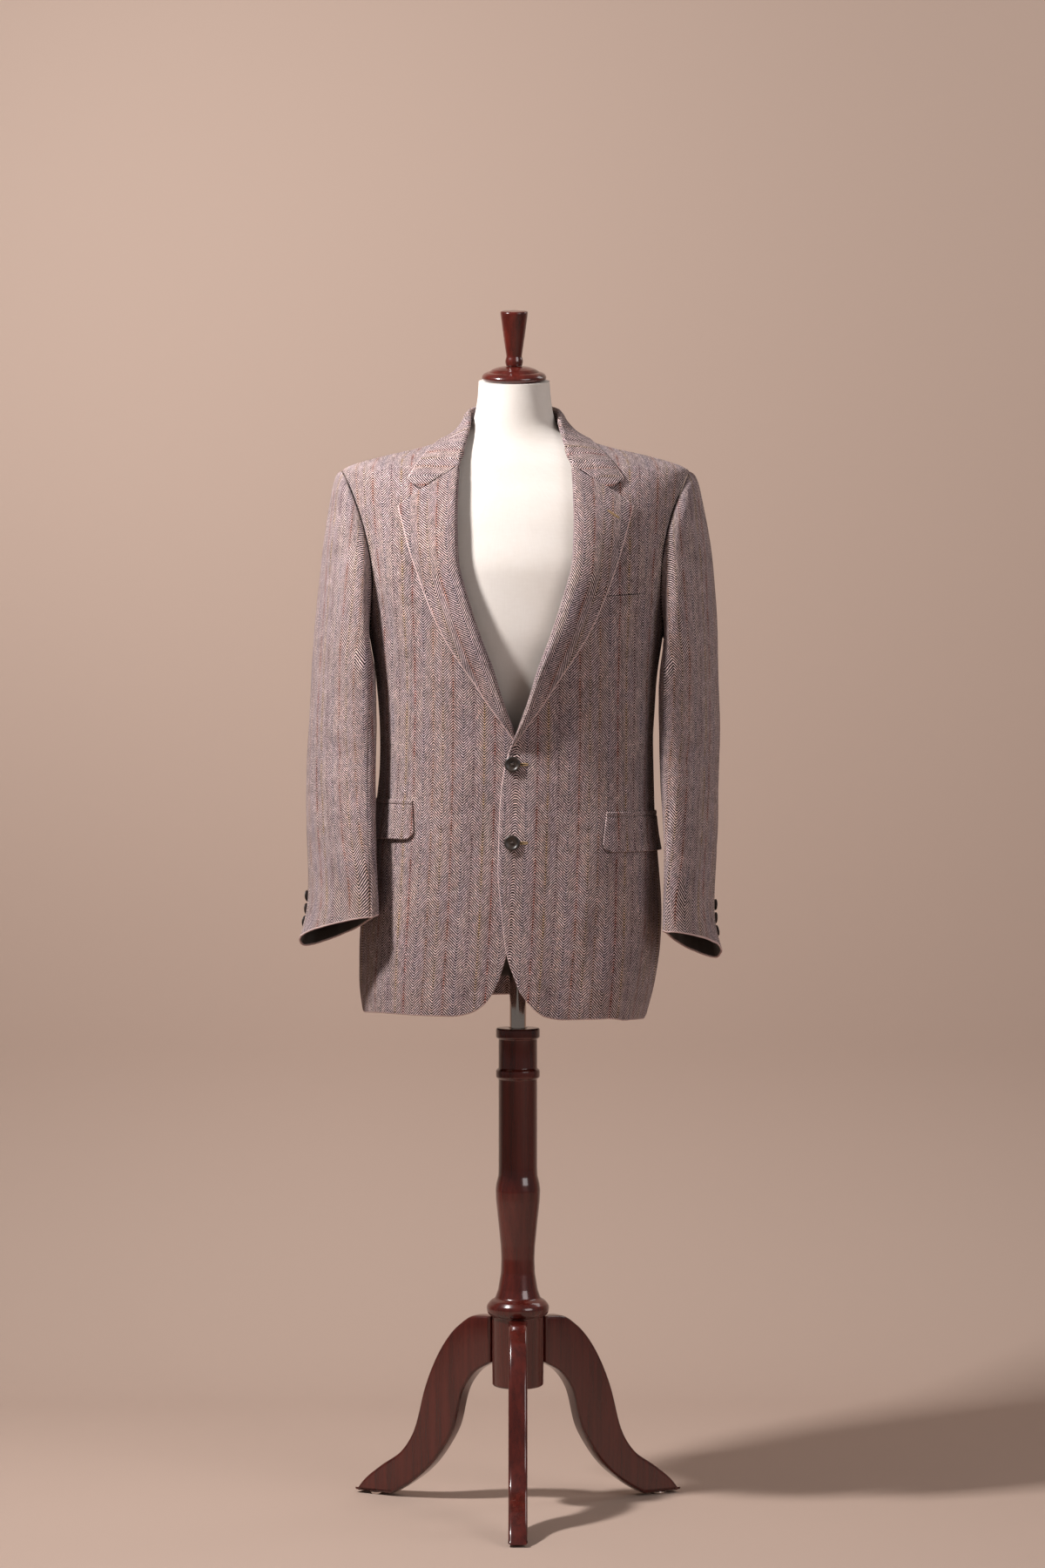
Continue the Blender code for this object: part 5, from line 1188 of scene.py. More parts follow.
def back_grid(side):
    columns = 11 * DENSE + 1
    turns = np.linspace(BACK_SEAM, 2, columns)
    bottom = pattern(turns, hem_z(turns, side), True)
    arc_turn, arc_z = armhole(dense_loops()[2])
    left = joined(pattern(BACK_SEAM, seam_line(BACK_SEAM, side), True),
                  pattern(arc_turn, arc_z, True))
    line = [(half_width(z), z) for z in np.linspace(ARM_TOP_Z, NECK_POINT_Z, 6)]
    line += [(half_width(NECK_POINT_Z) * share, z) for share, z in BACK_NECKLINE]
    top = path(line, columns)
    low = hem_z(2.0, side)
    centre_z = low + (BACK_NECK_Z - low) * crowded(len(left), 1.0, NAPE_CROWD)
    return coons(left, bottom, np.stack([0 * centre_z, centre_z], -1), top)


def clothed(flat_grid, side, from_back=False, out=0.0, measure=flat_front):
    """Dense grid of [point, outward, flat place] at a pattern grid."""
    s, z = flat_grid[..., 0], flat_grid[..., 1]
    turn = s / half_width(z)
    turn = side * (2 - turn if from_back else turn)
    point, outward = cloth(turn, z, out + overlap_lift(turn, z, side))
    flat = np.stack(measure(turn, z), -1)
    return np.concatenate([point, outward, flat], -1)


def rolled_edge(grid, height):
    """Rolls a front's grid down towards the body along its front edge and hem."""
    grid = grid.copy()
    for axis, width, drop in ((1, EDGE_ROLL, height), (0, HEM_ROLL, HEM_DROP)):
        near = 1 - np.clip(run_from(grid[..., :3], axis) / width, 0, 1)
        grid[..., :3] -= grid[..., 3:6] * (drop * rounding(near))[..., None]
    return grid


def lined_inside(grid, bottom, first):
    """Inner faces that lie further than these widths from the hem and the front edge."""
    up, along = (run_from(grid[..., :3], axis) for axis in (0, 1))
    return ((up > bottom) & (along > first))[:-1, :-1].astype(int)


LINED_TWEED = (TWEED, LINING)


def make_bodies():
    for side, word in SIDES:
        front = spread(clothed(front_grid(side), side), 92, 58, FRONT_KINDS)
        front = rolled_edge(front, OVERLAP_LIFT - OVERLAP_KEPT if side > 0 else HEM_DROP)
        flank = spread(clothed(side_grid(side), side), 66, 16, SIDE_KINDS)
        flank[..., 6] -= SIDE_SHIFT
        back = spread(clothed(back_grid(side), side, True, measure=flat_back), 96, 56, BACK_KINDS)
        neighbours = [f"tweed_front_{word}", f"tweed_back_{word}"]
        for part, grid, kinds, facing, rests_on in (
                ("front", front, FRONT_KINDS, FACING, ["form_linen"]),
                ("side", flank, SIDE_KINDS, -1, neighbours),
                ("back", back, BACK_KINDS, -1, ["form_linen"])):
            cloth_piece(f"tweed_{part}_{word}", f"{part}_{word}", grid, WALL, kinds,
                        LINED_TWEED, lined_inside(grid, TURN_UP, facing))


# ---------------------------------------------------------------- sleeves
SLEEVE_CREASES = (
    # loop, share down the sleeve, reach_loop, reach_share, lean, height
    (0.22, 0.50, 0.050, 0.030, 0.9, 0.0016),
    (0.26, 0.56, 0.050, 0.022, 0.9, -0.0013),
    (0.20, 0.62, 0.060, 0.030, 0.7, 0.0012),
    (0.36, 0.47, 0.045, 0.050, -0.5, 0.0016),
    (0.10, 0.40, 0.030, 0.160, 0.1, 0.0010),
    (0.17, 0.72, 0.030, 0.130, 0.1, -0.0010),
    (0.05, 0.80, 0.030, 0.120, -0.1, 0.0009),
    (0.28, 0.86, 0.035, 0.080, 0.1, 0.0012),
    (0.80, 0.52, 0.050, 0.030, -0.9, 0.0018),
    (0.76, 0.60, 0.050, 0.022, -0.9, -0.0014),
    (0.85, 0.68, 0.050, 0.030, -0.6, 0.0013),
    (0.62, 0.48, 0.060, 0.030, 0.8, 0.0018),
    (0.90, 0.18, 0.040, 0.060, -0.4, 0.0014),
    (0.12, 0.15, 0.030, 0.070, 0.3, 0.0008))
HEAD_RISE = 0.0009         # fulness of the sleeve's head beside its seam
HEAD_AT = 0.0070
HEAD_WIDTH = 0.0060
HEAD_EASE = 0.030          # length over which the sleeve comes clear of the body
HEAD_SINK = 0.0010         # how far it may lie in at its seam
SLEEVE_SOFT = 0.0040       # how softly it is moved out of the body's way
SLEEVE_ROWS = 92
SLEEVE_KINDS = ("seam", "edge", "seam", "seam")
# The cuff's tweed turn-up is kept short, so that the very dark lining paints the shade inside the
# cuff.
CUFF_TURN_UP = 0.003
CUFF_SAG = 0.0045          # how far the front of a cuff sags
CUFF_LEVEL = 0.0095        # how far its inner corner comes down and its outer corner goes up
CUFF_SAG_LENGTH = 0.090    # the length of sleeve over which both begin
HEAD_LENGTH = 0.130        # of the sleeve's head, down to where the sleeve is a plain tube


def spline(xs, ys, x):
    """Natural cubic spline through points."""
    xs, ys = np.asarray(xs, float), np.asarray(ys, float)
    n, width = len(xs), np.diff(xs)
    system = np.eye(n)
    right = np.zeros(ys.shape)
    for i in range(1, n - 1):
        system[i, i - 1:i + 2] = width[i - 1], 2 * (width[i - 1] + width[i]), width[i]
        right[i] = 6 * ((ys[i + 1] - ys[i]) / width[i] - (ys[i] - ys[i - 1]) / width[i - 1])
    bend = np.linalg.solve(system, right)
    i = np.clip(np.searchsorted(xs, x) - 1, 0, n - 2)
    a, b = (xs[i + 1] - x)[:, None], (x - xs[i])[:, None]
    w = width[i][:, None]
    return (bend[i] * a ** 3 / (6 * w) + bend[i + 1] * b ** 3 / (6 * w)
            + (ys[i] / w - bend[i] * w / 6) * a + (ys[i + 1] / w - bend[i + 1] * w / 6) * b)


def clear_of_body(points, gap, soft):
    """Moves points that come too close to the body's surface smoothly out of its way."""
    x, y, z = np.moveaxis(points, -1, 0)
    surface = cloth(turn_of(x, y, z), z, gap)[0]
    middle = np.stack([BODY.at(z, "middle"), 0 * z, z], -1)
    reach = np.linalg.norm(points - middle, axis=-1)
    least = np.linalg.norm((surface - middle)[..., :2], axis=-1)
    excess = least - reach
    push = (excess + np.sqrt(excess ** 2 + soft ** 2)) / 2
    push = np.where(np.abs(x) > 0.1, push, 0.0)
    return middle + (points - middle) * (1 + push / reach)[..., None]


def sleeve_dense(side):
    """Dense grid of a sleeve, armhole to cuff, round from its top by its front."""
    parts = dense_loops()
    loops = np.concatenate([parts[0], parts[1][1:], parts[2][1:]])
    turn, z = armhole(loops)
    seam = cloth(side * turn, z)[0]
    rows = SLEEVE_LEFT if side > 0 else SLEEVE_RIGHT
    front, under, back = arm_loops()
    even = np.interp(loops, np.concatenate([front, under[1:], back[1:]]), np.linspace(0, 1, 21))
    rings = [seam]
    for k, row in enumerate(rows):
        share = min(1.0, (k + 1) / EVEN_RING)
        rings.append(sleeve_ring(row, loops * (1 - share) + even * share, side))
    rings = np.array(rings)
    run = np.linalg.norm(np.diff(rings, axis=0), axis=-1).mean(axis=1)
    run = np.concatenate([[0.0], np.cumsum(run)])
    at = stops(run[-1], 2 * SLEEVE_ROWS, "seam", "edge")
    grid = np.stack([spline(run, rings[:, k], at) for k in range(rings.shape[1])], axis=1)
    low = np.clip(1 - (at[-1] - at) / CUFF_SAG_LENGTH, 0, 1)[:, None]
    facing = np.sin(even * 2 * math.pi)
    level = CUFF_LEVEL * np.cos(even * 2 * math.pi) * np.clip(facing + 0.5, 0.0, 1.0)
    grid[..., 2] += (level - CUFF_SAG * np.maximum(facing, 0.0)) * low ** 2
    ease = eased(np.clip(at / HEAD_EASE, 0, 1)[:, None])
    gap = SLEEVE_GAP * ease - HEAD_SINK * (1 - ease)
    grid = clear_of_body(grid, gap, 0.0002 + SLEEVE_SOFT * ease)
    wrapped = np.concatenate([grid[:, -3:-1], grid, grid[:, 1:3]], axis=1)
    outward = unit(np.cross(np.gradient(wrapped, axis=0), np.gradient(wrapped, axis=1))[:, 2:-2])
    middle = grid.mean(axis=1, keepdims=True)
    outward *= np.sign(np.sum(outward * (grid - middle), axis=-1).mean())
    share = (at / at[-1])[:, None]
    rise = 0.6 * swell(even * 4 + side, share * 0.8) + 0 * share
    for loop, down, reach_loop, reach_share, lean, height in SLEEVE_CREASES:
        off = (even[None, :] - loop - lean * (share - down) + 0.5) % 1.0 - 0.5
        rise = rise + height * np.exp(-(off / reach_loop) ** 2
                                      - ((share - down) / reach_share) ** 2)
    upper = np.clip(np.cos(loops * 2 * math.pi) * 1.6 + 0.4, 0, 1)[None, :]
    rise = rise * ease + HEAD_RISE * upper * np.exp(-((at[:, None] - HEAD_AT) / HEAD_WIDTH) ** 2)
    grid = grid + outward * rise[..., None]
    return grid, outward, at


def unrolled(points, at):
    """Flat measure of a sleeve: round the arm from its outermost line, and up from the cuff."""
    axis = unit(np.gradient(points[:, :-1].mean(axis=1), axis=0))
    below = np.searchsorted(at, HEAD_LENGTH)
    outermost = np.argmax(np.abs(points[below, :, 0]))
    across, down = measured(points, axis[:, None], outermost)
    up = down[-1, outermost] - down
    ring, way = points[below], axis[below]
    out = square_to(ring[outermost] - ring[:-1].mean(axis=0), way)
    side = np.cross(way, out)
    from_axis = points[:below + 1] - ring[:-1].mean(axis=0)
    angle = np.arctan2(from_axis @ side, from_axis @ out)
    radius = np.hypot(from_axis @ side, from_axis @ out)
    order = np.argsort(angle[below, :-1])
    whole = np.ptp(across[below])
    round_arm = np.where(across[below, :-1] > whole / 2, across[below, :-1] - whole,
                         across[below, :-1])
    round_arm = np.where(round_arm < -whole / 2, round_arm + whole, round_arm)
    across[:below] = np.interp(angle[:below], angle[below, order], round_arm[order])
    wide = np.interp(angle[:below], angle[below, order], radius[below, order])
    level = np.interp(angle[:below], angle[below, order], up[below, order])
    depth = np.interp(angle[:below], angle[below, order], (from_axis @ way)[below, order])
    up[:below] = level + depth - (from_axis @ way)[:below] + np.maximum(wide - radius[:below], 0.0)
    return np.stack([across, up], -1)


def make_sleeves():
    fore = FRONT_ARC * DENSE
    hind = (FRONT_ARC + UNDER_ARC + UNDER_SLEEVE_TO) * DENSE
    for side, word in SIDES:
        points, outward, at = sleeve_dense(side)
        flats = unrolled(points, at)
        last = points.shape[1] - 1
        columns = {"top": list(range(hind, last)) + list(range(0, fore + 1)),
                   "under": list(range(fore, hind + 1))}
        for part, chosen in columns.items():
            point = points[:, chosen]
            flat = flats[:, chosen] + (0.3, 1.3 if part == "top" else 2.1)
            dense = np.concatenate([point, outward[:, chosen], flat], -1)
            grid = spread(dense, SLEEVE_ROWS, 44 if part == "top" else 26, SLEEVE_KINDS)
            to_cuff = run_from(grid[..., :3], 0, True)
            lined = (to_cuff > CUFF_TURN_UP)[:-1, :-1].astype(int)
            cloth_piece(f"tweed_sleeve_{part}_{word}", f"sleeve_{part}_{word}", grid, WALL,
                        SLEEVE_KINDS, LINED_TWEED,
                        lined)


# ---------------------------------------------------------------- lapels and collar
LAPEL_ROLL = 0.0045        # outer radius of the roll where the front turns back into the lapel
ROLL_STEPS = 9
CURL_COLUMNS = ROLL_STEPS + 3      # with the facing strip's three
CURL_REACH = 180.0         # degrees that the roll goes round, less this much at the gorge
CURL_LESS = 75.0
GORGE_FROM = 1.345         # height from which the roll opens towards the gorge, over this height
GORGE_RAMP = 0.024
LAPEL_FOOT_OUT = 0.0003    # how far the lapel's foot lies off its front
FACING_STRIP = 0.010       # how far the roll runs on inside the front
LAPEL_RISE = 0.034         # height over which a lapel comes up out of its front
LAPEL_KINDS = ("edge", "seam", "open", "edge")
# How far a lapel's rolled side stands off beyond its outer edge, by height.
LAPEL_STAND = Table(("z", "height"), (
    (0.99, 0.0030), (1.06, 0.0110), (1.14, 0.0130), (1.22, 0.0110), (1.30, 0.0080),
    (1.372, 0.0029)))


def front_places(x, z, side, out):
    turn = turn_at(x, z)
    return cloth(turn, z, out + overlap_lift(turn, z, side))


def lapel_foot(side):
    """Height at which a lapel has sunk into its front."""
    return LAPEL_LOW_LEFT - 0.004 if side > 0 else LAPEL_LOW_RIGHT - 0.020


def lapel_lines(side, rows, columns):
    """Front view grid of a lapel: from the roll line out to the free edge, bottom to gorge."""
    low = lapel_foot(side)
    z = np.linspace(low, GORGE[1], rows)
    roll = np.stack([ROLL.at(z, "reach"), z], -1)
    roll[:, 0] -= LAPEL_LOW_DROP * np.clip((1.025 - z) / 0.027, 0, 1)
    tip_z = np.linspace(low, LAPEL_TIP[1], 160)
    edge = path(np.stack([LAPEL_EDGE.at(tip_z, "reach"), tip_z], -1), rows)
    edge[:, 0] = np.maximum(edge[:, 0], roll[0, 0] + LAPEL_LOW_WIDTH)
    bottom = path((roll[0], edge[0]), columns)
    top = path((roll[-1], (NOTCH[0], NOTCH[1] - SEAM), edge[-1]), columns)
    return coons(roll, bottom, edge, top)


def lapel_dense(side, rows=150, columns=61):
    """Dense grid of a lapel, from inside the front round the roll and out to the free edge."""
    lines = lapel_lines(side, rows, columns)
    u = np.linspace(0, 1, columns)[None, :]
    v = np.linspace(0, 1, rows)[:, None]
    belly = LAPEL_BELLY * np.sin(math.pi * u ** 0.8) * np.sin(math.pi * v ** 0.9) ** 0.7
    belly = belly + 0.8 * swell(u * 0.25 + side, v * 0.45) * np.sin(math.pi * u)
    width = np.abs(lines[:, -1, 0] - lines[:, 0, 0])
    radius = np.minimum(LAPEL_ROLL, width * 0.45)
    risen = eased(np.clip((lines[..., 1] - lapel_foot(side)) / LAPEL_RISE, 0, 1))
    stand = LAPEL_STAND.at(lines[..., 1], "height") * risen
    full_out = COVER_GAP + LAPEL_WALL - LAPEL_FOOT_OUT
    top_out = LAPEL_FOOT_OUT + full_out * risen + stand * (1 - u) ** 1.15
    lines[:, :, 0] += radius[:, None] * (1 - u) ** 8
    x = MIDDLE_LINE + side * lines[..., 0]
    point, outward = front_places(x, lines[..., 1], side, top_out + belly)
    flat_part = np.concatenate([point, outward], -1)
    inward = np.sign(side) * np.array([1.0, 0.0, 0.0])
    start, normal = point[:, 0], outward[:, 0]
    level = np.clip((lines[:, 0, 1] - GORGE_FROM) / GORGE_RAMP, 0, 1)
    reach = CURL_REACH - CURL_LESS * level
    away = square_to(inward, normal)
    depth = radius + stand[:, 0] / 2
    centre = start - normal * depth[:, None]
    curl = []
    strip = FACING_STRIP * (1 - level) * np.clip(width / 0.03, 0, 1)
    cos, sin = (part(np.radians(reach))[:, None] for part in (np.cos, np.sin))
    inner_end = centre + normal * depth[:, None] * cos - away * radius[:, None] * sin
    way = -away * cos - normal * sin
    for share in (1.0, 0.6, 0.3):
        curl.append(np.concatenate([inner_end + way * ((strip + 0.0004) * share)[:, None],
                                    normal * cos - away * sin], -1))
    for step in np.linspace(1, 0, ROLL_STEPS, endpoint=False):
        angle = np.radians(reach * step)[:, None]
        over, under = normal * np.cos(angle), away * np.sin(angle)
        place = centre + over * depth[:, None] - under * radius[:, None]
        turned = unit(over * radius[:, None] - under * depth[:, None])
        curl.append(np.concatenate([place, turned], -1))
    grid = np.concatenate([np.stack(curl, axis=1), flat_part], axis=1)
    across, up = measured(grid[..., :3], lengthways(grid[..., :3]), len(curl))
    return np.concatenate([grid, np.stack([across + 0.5, up + 2.9], -1)], -1)


def on_lapel(x, z):
    """Point and outward direction on the left lapel's face."""
    grid = lapel_dense(1)[:, CURL_COLUMNS:].reshape(-1, 8)
    nearest = grid[np.argmin(np.hypot(grid[:, 0] - x, grid[:, 2] - z))]
    return nearest[:3] + nearest[3:6] * HOLE_LIFT, nearest[3:6]


def make_lapels():
    for side, word in SIDES:
        dense = lapel_dense(side)
        grid = respaced(dense.swapaxes(0, 1), 84, "edge", "edge").swapaxes(0, 1)
        body = respaced(grid[:, CURL_COLUMNS:], 34, "open", "edge")
        grid = np.concatenate([grid[:, :CURL_COLUMNS], body], axis=1)
        cloth_piece(f"tweed_lapel_{word}", f"lapel_{word}", grid, LAPEL_WALL, LAPEL_KINDS,
                    (TWEED,))


COLLAR_END_SHIFT = 0.0022  # brings the collar's fold in line with the lapel's roll
FINE_FALL = tuple(np.linspace(1.0, 0.0, 15)[:-1])
FINE_FOLD = tuple(np.linspace(0.0, 180.0, 13))
FINE_STAND = tuple(np.linspace(0.0, 1.0, 7)[1:])
COLLAR_KINDS = ("seam", "seam", "edge", "seam")
COLLAR_REACH = 0.0009      # how far the collar's ends run on to meet the lapels
COLLAR_SHIFT_OVER = 0.050  # the lengths at each end over which these two begin
COLLAR_REACH_OVER = 0.012
COLLAR_CLEAR = 0.0008      # least room between the fall and the body


def collar_profile(share, side):
    """The collar's middle layer at one station, from its outer edge over the fold to the seam."""
    x, y, z = (COLLAR.at(share, f"fold_{axis}") for axis in "xyz")
    middle = np.array([side * x + BODY.at(z, "middle"), y, z])
    turn = side * turn_of(x + BODY.at(z, "middle"), y, z)
    outward = normal_of(BODY, turn, z)
    gap = COLLAR_GAP + COLLAR_WALL / 2
    height = np.dot(middle - body_ring(BODY, turn, z), outward)
    points = []
    for step in FINE_FALL:
        place = fall_place(share, step)
        out = gap + (height + FOLD_RADIUS - gap) * (1 - step) ** 2
        out += COLLAR_BELLY * math.sin(math.pi * step)
        points.append(cloth(side * place[0], place[1], max(out, gap))[0])
    ridge = square_to(middle - points[-2], outward)
    for angle in map(math.radians, FINE_FOLD):
        points.append(middle + FOLD_RADIUS * (outward * math.cos(angle) + ridge * math.sin(angle)))
    seam_turn, seam_z = side * COLLAR.at(share, "seam_turn"), COLLAR.at(share, "seam_z")
    foot = cloth(seam_turn, seam_z, -COLLAR_WALL / 2)[0]
    start = points[-1]
    points += [start + (foot - start) * step for step in FINE_STAND]
    return points


def body_tree():
    """The jacket's outer face as a search tree."""
    turn = np.linspace(-2, 2, 481)[None, :]
    z = np.concatenate([np.linspace(1.20, 1.36, 60), np.linspace(1.36, 1.44, 200)[1:]])[:, None]
    points = cloth(turn + 0 * z, z + 0 * turn)[0]
    square = squares(*points.shape[:2])[1]
    return BVHTree.FromPolygons(points.reshape(-1, 3).tolist(), square.tolist())


def kept_off(points, tree, least, soft):
    """Lifts points that lie lower over the body than they should, softly."""
    out = points.copy()
    for place in np.ndindex(points.shape[:2]):
        found, normal, _, _ = tree.find_nearest(Vector(points[place]))
        normal = np.array(normal)
        height = np.dot(points[place] - np.array(found), normal)
        short = least - height
        out[place] += normal * (short + math.sqrt(short * short + soft * soft)) / 2
    return out


def make_collar():
    shares = COLLAR.rows[::-1, 0]
    lines = [collar_profile(share, 1) for share in shares]
    lines += [collar_profile(share, -1) for share in shares[-2::-1]]
    lines = np.array(lines)
    fold_column = len(FINE_FALL) + len(FINE_FOLD) // 2
    run = run_from(lines[:, [fold_column]], 0)[:, 0]
    at = stops(run[-1], 150, "edge", "edge")
    middle = np.stack([spline(run, lines[:, k], at) for k in range(lines.shape[1])], axis=1)
    fall = slice(0, len(FINE_FALL))
    from_end = np.minimum(at, run[-1] - at)
    half = np.where(at < run[-1] / 2, 1, -1)
    bent_in = COLLAR_END_SHIFT * np.clip(1 - from_end / COLLAR_SHIFT_OVER, 0, 1) ** 2 * half
    weight = np.ones(middle.shape[1])
    weight[fall] = (1 - np.array(FINE_FALL)) ** 2
    middle[..., 0] += bent_in[:, None] * weight
    pull = unit(np.gradient(middle, axis=0))
    ending = np.clip(1 - from_end / COLLAR_REACH_OVER, 0, 1) * -half
    middle += pull * (COLLAR_REACH * ending)[:, None, None]
    middle[:, fall] = kept_off(middle[:, fall], body_tree(), COLLAR_CLEAR + COLLAR_WALL / 2,
                               COLLAR_CLEAR)
    outward = unit(np.cross(np.gradient(middle, axis=1), np.gradient(middle, axis=0)))
    if outward[len(middle) // 2, 0, 1] < 0:
        outward = -outward
    across, along = measured(middle, lengthways(middle)[:, [fold_column]], fold_column)
    flat = np.stack([along - run[-1] / 2, across + 3.7], -1)
    dense = np.concatenate([middle + outward * COLLAR_WALL / 2, outward, flat], -1)
    grid = spread(dense, 116, 34, COLLAR_KINDS)
    cloth_piece("tweed_collar", "collar", grid, COLLAR_WALL, COLLAR_KINDS, (TWEED,))


# ---------------------------------------------------------------- pockets and lining
FLAP_KINDS = ("edge", "seam", "edge", "edge")
FLAP_CORNER = 0.0105       # radius of the flap's lower corners
FLAP_SET_BACK = -0.0040    # of the foot of its front end, which reaches forwards as it is negative
JET_KINDS = ("edge",) * 4  # of all that has four free edges


def laid_on(turn, z, out):
    """Dense grid of [point, outward, flat place] on the fronts."""
    point, outward = cloth(turn, z, out)
    return np.concatenate([point, outward, np.stack(flat_front(turn, z), -1)], -1)


def flap_dense(side, top, bottom, out, hangs, rows=40, columns=90):
    """Dense grid of a flap or jet that starts at the front end and runs back round the body."""
    front_x = side * FLAP.at(side, "front_x")
    start = float(turn_at(front_x, top))
    end = run_back(front_x, top, FLAP_LENGTH, side)
    u = np.linspace(0, 1, columns)[None, :]
    v = np.linspace(0, 1, rows)[:, None]
    corner = hangs * FLAP_SET_BACK * (1 - v) * (1 - u) ** 2 / half_width(top)
    turn = start + (end - start) * u + side * corner
    near = [np.clip(1 - share * FLAP_LENGTH / FLAP_CORNER, 0, 1) for share in (u, 1 - u)]
    round_off = FLAP_CORNER * sum(map(rounding, near))
    z = bottom + (top - bottom) * v + hangs * round_off * (1 - v) ** 1.2
    lip = hangs * FLAP_STAND * (1 - v) ** 2 * (0.4 + 0.6 * np.sin(math.pi * u))
    lip = lip + hangs * 0.0006 * (1 - v) * np.sin(u * 9.0 + side)
    return laid_on(turn, z, out + lip)


def make_pockets():
    for side, word in SIDES:
        top, bottom = FLAP.at(side, "top_z"), FLAP.at(side, "bottom_z")
        grid = spread(flap_dense(side, top, bottom, POCKET_GAP + FLAP_WALL, 1), 20, 54, FLAP_KINDS)
        flap = shell(f"tweed_flap_{word}", grid, FLAP_WALL, FLAP_KINDS, (TWEED,), highlight_inset=POCKET_HIGHLIGHT_INSET)
        dressed(flap, "form", "tweed", f"pocket_flap_{word}")
        low = top + SEAM + 0.0002
        dense = flap_dense(side, low + JET_HEIGHT, low, POCKET_GAP + JET_WALL, 0, 12)
        strip = spread(dense, 1, 54, JET_KINDS)
        jet = shell(f"tweed_jet_{word}", strip, JET_WALL, JET_KINDS, (TWEED,), highlight_inset=POCKET_HIGHLIGHT_INSET)
        dressed(jet, "form", "tweed", f"pocket_jet_{word}")
        stated(grid)


WELT_TUCK = 0.0070         # how far the welt runs on under the lapel
WELT_FOOT = 0.0006         # how far its lower edge stands off the front
WELT_PROUD = 0.0020        # and its upper edge
WELT_MOUTH = 0.0016        # width of the pocket's open mouth, drawn as a dark sheet of painted shade


def make_welt():
    (x0, z0), (x1, z1), (x2, z2), (x3, z3) = WELT
    u = np.linspace(0, 1, 60)[None, :]
    v = np.linspace(0, 1, 24)[:, None]
    x0, x2 = x0 - WELT_TUCK, x2 - WELT_TUCK
    x = (x0 * (1 - u) + x1 * u) * (1 - v) + (x2 * (1 - u) + x3 * u) * v
    z = (z0 * (1 - u) + z1 * u) * (1 - v) + (z2 * (1 - u) + z3 * u) * v
    dense = laid_on(turn_at(x, z), z, WELT_FOOT + (WELT_PROUD - WELT_FOOT) * v)
    cloth_piece("tweed_welt", "breast_welt", spread(dense, 8, 26, JET_KINDS), JET_WALL, JET_KINDS,
                (TWEED,), highlight_inset=POCKET_HIGHLIGHT_INSET)
    # The pocket's mouth: a dark sheet painted as the shade in the gap over the welt.
    x = x2 + (x3 - x2) * np.linspace(0, 1, 30)[None, :] + 0 * v[:4]
    z = z2 + (z3 - z2) * np.linspace(0, 1, 30)[None, :] + WELT_MOUTH * (v[:4] / v[3] - 0.25)
    mouth = shell("welt_mouth", laid_on(turn_at(x, z), z, 0.0004), 0.0003, ("seam",) * 4,
                  (SLIT_PAINTED_SHADE,))
    dressed(mouth, "form", "tweed")


LINING_FOOT = 0.026        # height of the lining's foot over the hem
LINING_SHOWN = 0.075       # and how much of it shows above that
LINING_SETBACK = 0.02      # turns that it keeps from the back seams
EASE_PLEAT = 0.0022        # depth of its ease pleat
LINING_WAVE = 0.0016


def make_lining():
    """The lining's foot with its ease pleat, above the turn-up inside the backs."""
    start = BACK_SEAM + LINING_SETBACK
    turns = np.linspace(start, 4 - start, 160)[None, :]
    v = np.linspace(0, 1, 30)[:, None]
    around = np.where(turns > 2, turns - 4, turns)
    low = np.where(turns > 2, HEM.at(4 - turns, "right_z"), HEM.at(turns, "left_z"))
    z = low + LINING_FOOT + LINING_SHOWN * v
    sag = (LINING_WAVE * np.sin(turns * 23.0) * v
           + EASE_PLEAT * np.exp(-((v - 0.06) / 0.07) ** 2))
    point, outward = cloth(around, z, -WALL - POCKET_GAP - sag)
    flat = np.stack([turns * 0.2 + 0 * v, z + 40.0 + 0 * turns], -1)
    grid = spread(np.concatenate([point, outward, flat], -1), 16, 90, JET_KINDS)
    cloth_piece("lining_foot", "lining_back", grid, LINING_WALL, JET_KINDS, (LINING,),
                slot="lining")


# ---------------------------------------------------------------- buttons and holes
def frame_at(outward):
    """Right, up and outward directions at a place on the cloth."""
    outward = unit(outward)
    right = unit(np.cross((0.0, 0.0, 1.0), outward))
    return np.stack([right, np.cross(outward, right), outward], -1)


def revolved(line, segments):
    """Rings of points round Z at a profile's radii and heights."""
    angle = np.linspace(0, 2 * math.pi, segments, endpoint=False)
    return np.stack([line[:, :1] * np.cos(angle), line[:, :1] * np.sin(angle),
                     line[:, 1:] + 0 * angle], -1)


def lathe(profile, segments):
    """Points and faces of a solid of revolution whose profile ends meet the axis."""
    line = np.array(profile, float)
    rings = revolved(line, segments).reshape(-1, 3)
    ends = np.array([(0.0, 0.0, line[row, 1]) for row in (0, -1)])
    faces = bands(len(line), segments) + fans(len(line), segments, len(rings))
    return np.concatenate([rings, ends]), faces


def rounded(points, radius, steps=3):
    """A profile with its corners rounded."""
    points = np.array(points, float)
    out = [points[0]]
    for before, corner, after in zip(points, points[1:], points[2:]):
        a, b = before - corner, after - corner
        cut = min(radius, 0.45 * np.linalg.norm(a), 0.45 * np.linalg.norm(b))
        a, b = corner + a / np.linalg.norm(a) * cut, corner + b / np.linalg.norm(b) * cut
        for t in np.linspace(0, 1, steps + 1):
            out.append((1 - t) ** 2 * a + 2 * t * (1 - t) * corner + t * t * b)
    return np.array(out + [points[-1]])


BUTTON_HOLE = 0.00095      # radius of a button's four holes, and how far out they lie
BUTTON_HOLE_AT = 0.0021
# Half section of a button with a raised rim, from the middle of its face to that of its underside.
BUTTON_FACE = ((0.0001, 0.0022), (0.0045, 0.0023), (0.0062, 0.0028), (0.0072, 0.0037),
               (0.0086, 0.0041), (0.0098, 0.0036), (0.0103, 0.0024), (0.0097, 0.0009),
               (0.0078, 0.0001), (0.0001, 0.0001))


